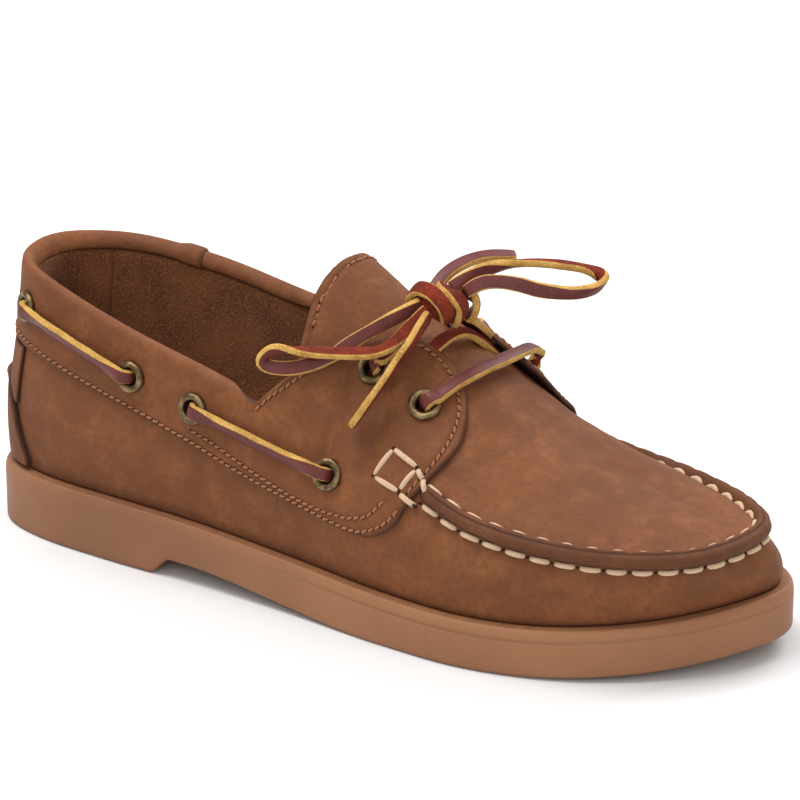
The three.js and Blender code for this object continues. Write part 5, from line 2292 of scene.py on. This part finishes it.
@dataclass
class Studio:
    """The camera at the photo's angle, a pale floor and soft lights."""

    last: Last
    azimuth: float = 30
    elevation: float = 20
    distance: float = 1.2
    focal_share: float = 3480 / 800
    sensor: float = 36
    aim: tuple[float, float, float] = (0, 8, 40)
    aim_right: float = 3.5
    aim_up: float = 20.5
    floor_radius: float = 3
    clip_end: float = 20
    lit_height: float = 0.05
    sky: float = 0.62

    LIGHTS = (("key", (-0.4, -0.2, 1.3), 0.8, 16), ("fill", (0.7, -1.3, 0.8), 1.0, 6),
              ("rim", (0.35, 1.0, 1.1), 0.8, 12))

    def axes(self) -> tuple[Vector, Vector, Vector]:
        """The camera's directions: right, up and back."""
        a, e = math.radians(self.azimuth), math.radians(self.elevation)
        back = Vector((math.sin(a) * math.cos(e), -math.cos(a) * math.cos(e), math.sin(e)))
        right = Vector((math.cos(a), math.sin(a), 0))
        return right, back.cross(right), back

    def camera(self) -> None:
        """Sets up the camera."""
        right, up, back = self.axes()
        target = Vector(self.aim) + Vector((0, self.last.shift, 0))
        target += right * self.aim_right + up * self.aim_up
        data = bpy.data.cameras.new("camera")
        data.sensor_width = self.sensor
        data.lens = self.sensor * self.focal_share
        data.clip_end = self.clip_end
        camera = in_scene("camera", data)
        camera.location = target * MM + back * self.distance
        camera.rotation_euler = back.to_track_quat("Z", "Y").to_euler()
        bpy.context.scene.camera = camera

    def light(self, name: str, place: tuple[float, float, float], size: float, power: float) -> None:
        """Adds a soft square light that points at the shoe.

        Args:
            name: Its name.
            place: Where it stands, in metres.
            size: Its side, in metres.
            power: Its power, in watts.
        """
        data = bpy.data.lights.new(name, "AREA")
        data.size = size
        data.energy = power
        lamp = in_scene(name, data)
        lamp.location = place
        back = Vector(place) - Vector((0, 0, self.lit_height))
        lamp.rotation_euler = back.to_track_quat("Z", "Y").to_euler()

    def build(self, floor_material: bpy.types.Material) -> None:
        """Sets up the floor, the surroundings and the lights.

        Args:
            floor_material: The floor's material.
        """
        net = Net()
        turn = np.arange(96) * 2 * math.pi / 96
        edge = np.stack([np.cos(turn), np.sin(turn), 0 * turn], -1) * self.floor_radius / MM
        net.cap(net.add(edge))
        floor = net.build("studio_floor", [floor_material])
        world = bpy.data.worlds.new("studio")
        world.use_nodes = True
        background = world.node_tree.nodes["Background"]
        background.inputs["Color"].default_value = (1, 1, 1, 1)
        background.inputs["Strength"].default_value = self.sky
        bpy.context.scene.world = world
        for light in self.LIGHTS:
            self.light(*light)
        view = bpy.context.scene.view_settings
        view.view_transform = "Standard"
        view.look = "None"


def main() -> None:
    """Builds the shoe piece by piece."""
    logging.basicConfig(level=logging.INFO, format="%(message)s")
    last = Last(ShoeSizes())
    finishes = Finishes()
    studio = Studio(last)
    studio.camera()
    eyelets = Eyelets(last, finishes, EyeletSizes())
    laces = Laces(last, finishes, eyelets.seats)
    laces.free_lengths(laces.knot())
    laces.build_runs()
    sewn = [last.lifted(from_saddle(line[:, 0], side), line[:, 1], last.sizes.facing)
            for side in Side for line in saddle_lines()]
    shoe = (last, Relief(last, MocSeam(), sewn), finishes)
    Outsole(*shoe).build()
    Insole(*shoe).build()
    pins = eyelets.pins()
    Upper(*shoe).build(pins)
    for side in Side:
        Saddle(*shoe, side).build(pins)
    bpy.data.objects.remove(pins)
    eyelets.build()
    tongue = Tongue(*shoe)
    tongue.build()
    Lining(*shoe).build()
    MocRidge(*shoe).build()
    HeelTrim(*shoe).build()
    Sewing(*shoe, StitchTree()).build(tongue)
    studio.build(finishes.floor)


if __name__ == "__main__":
    main()
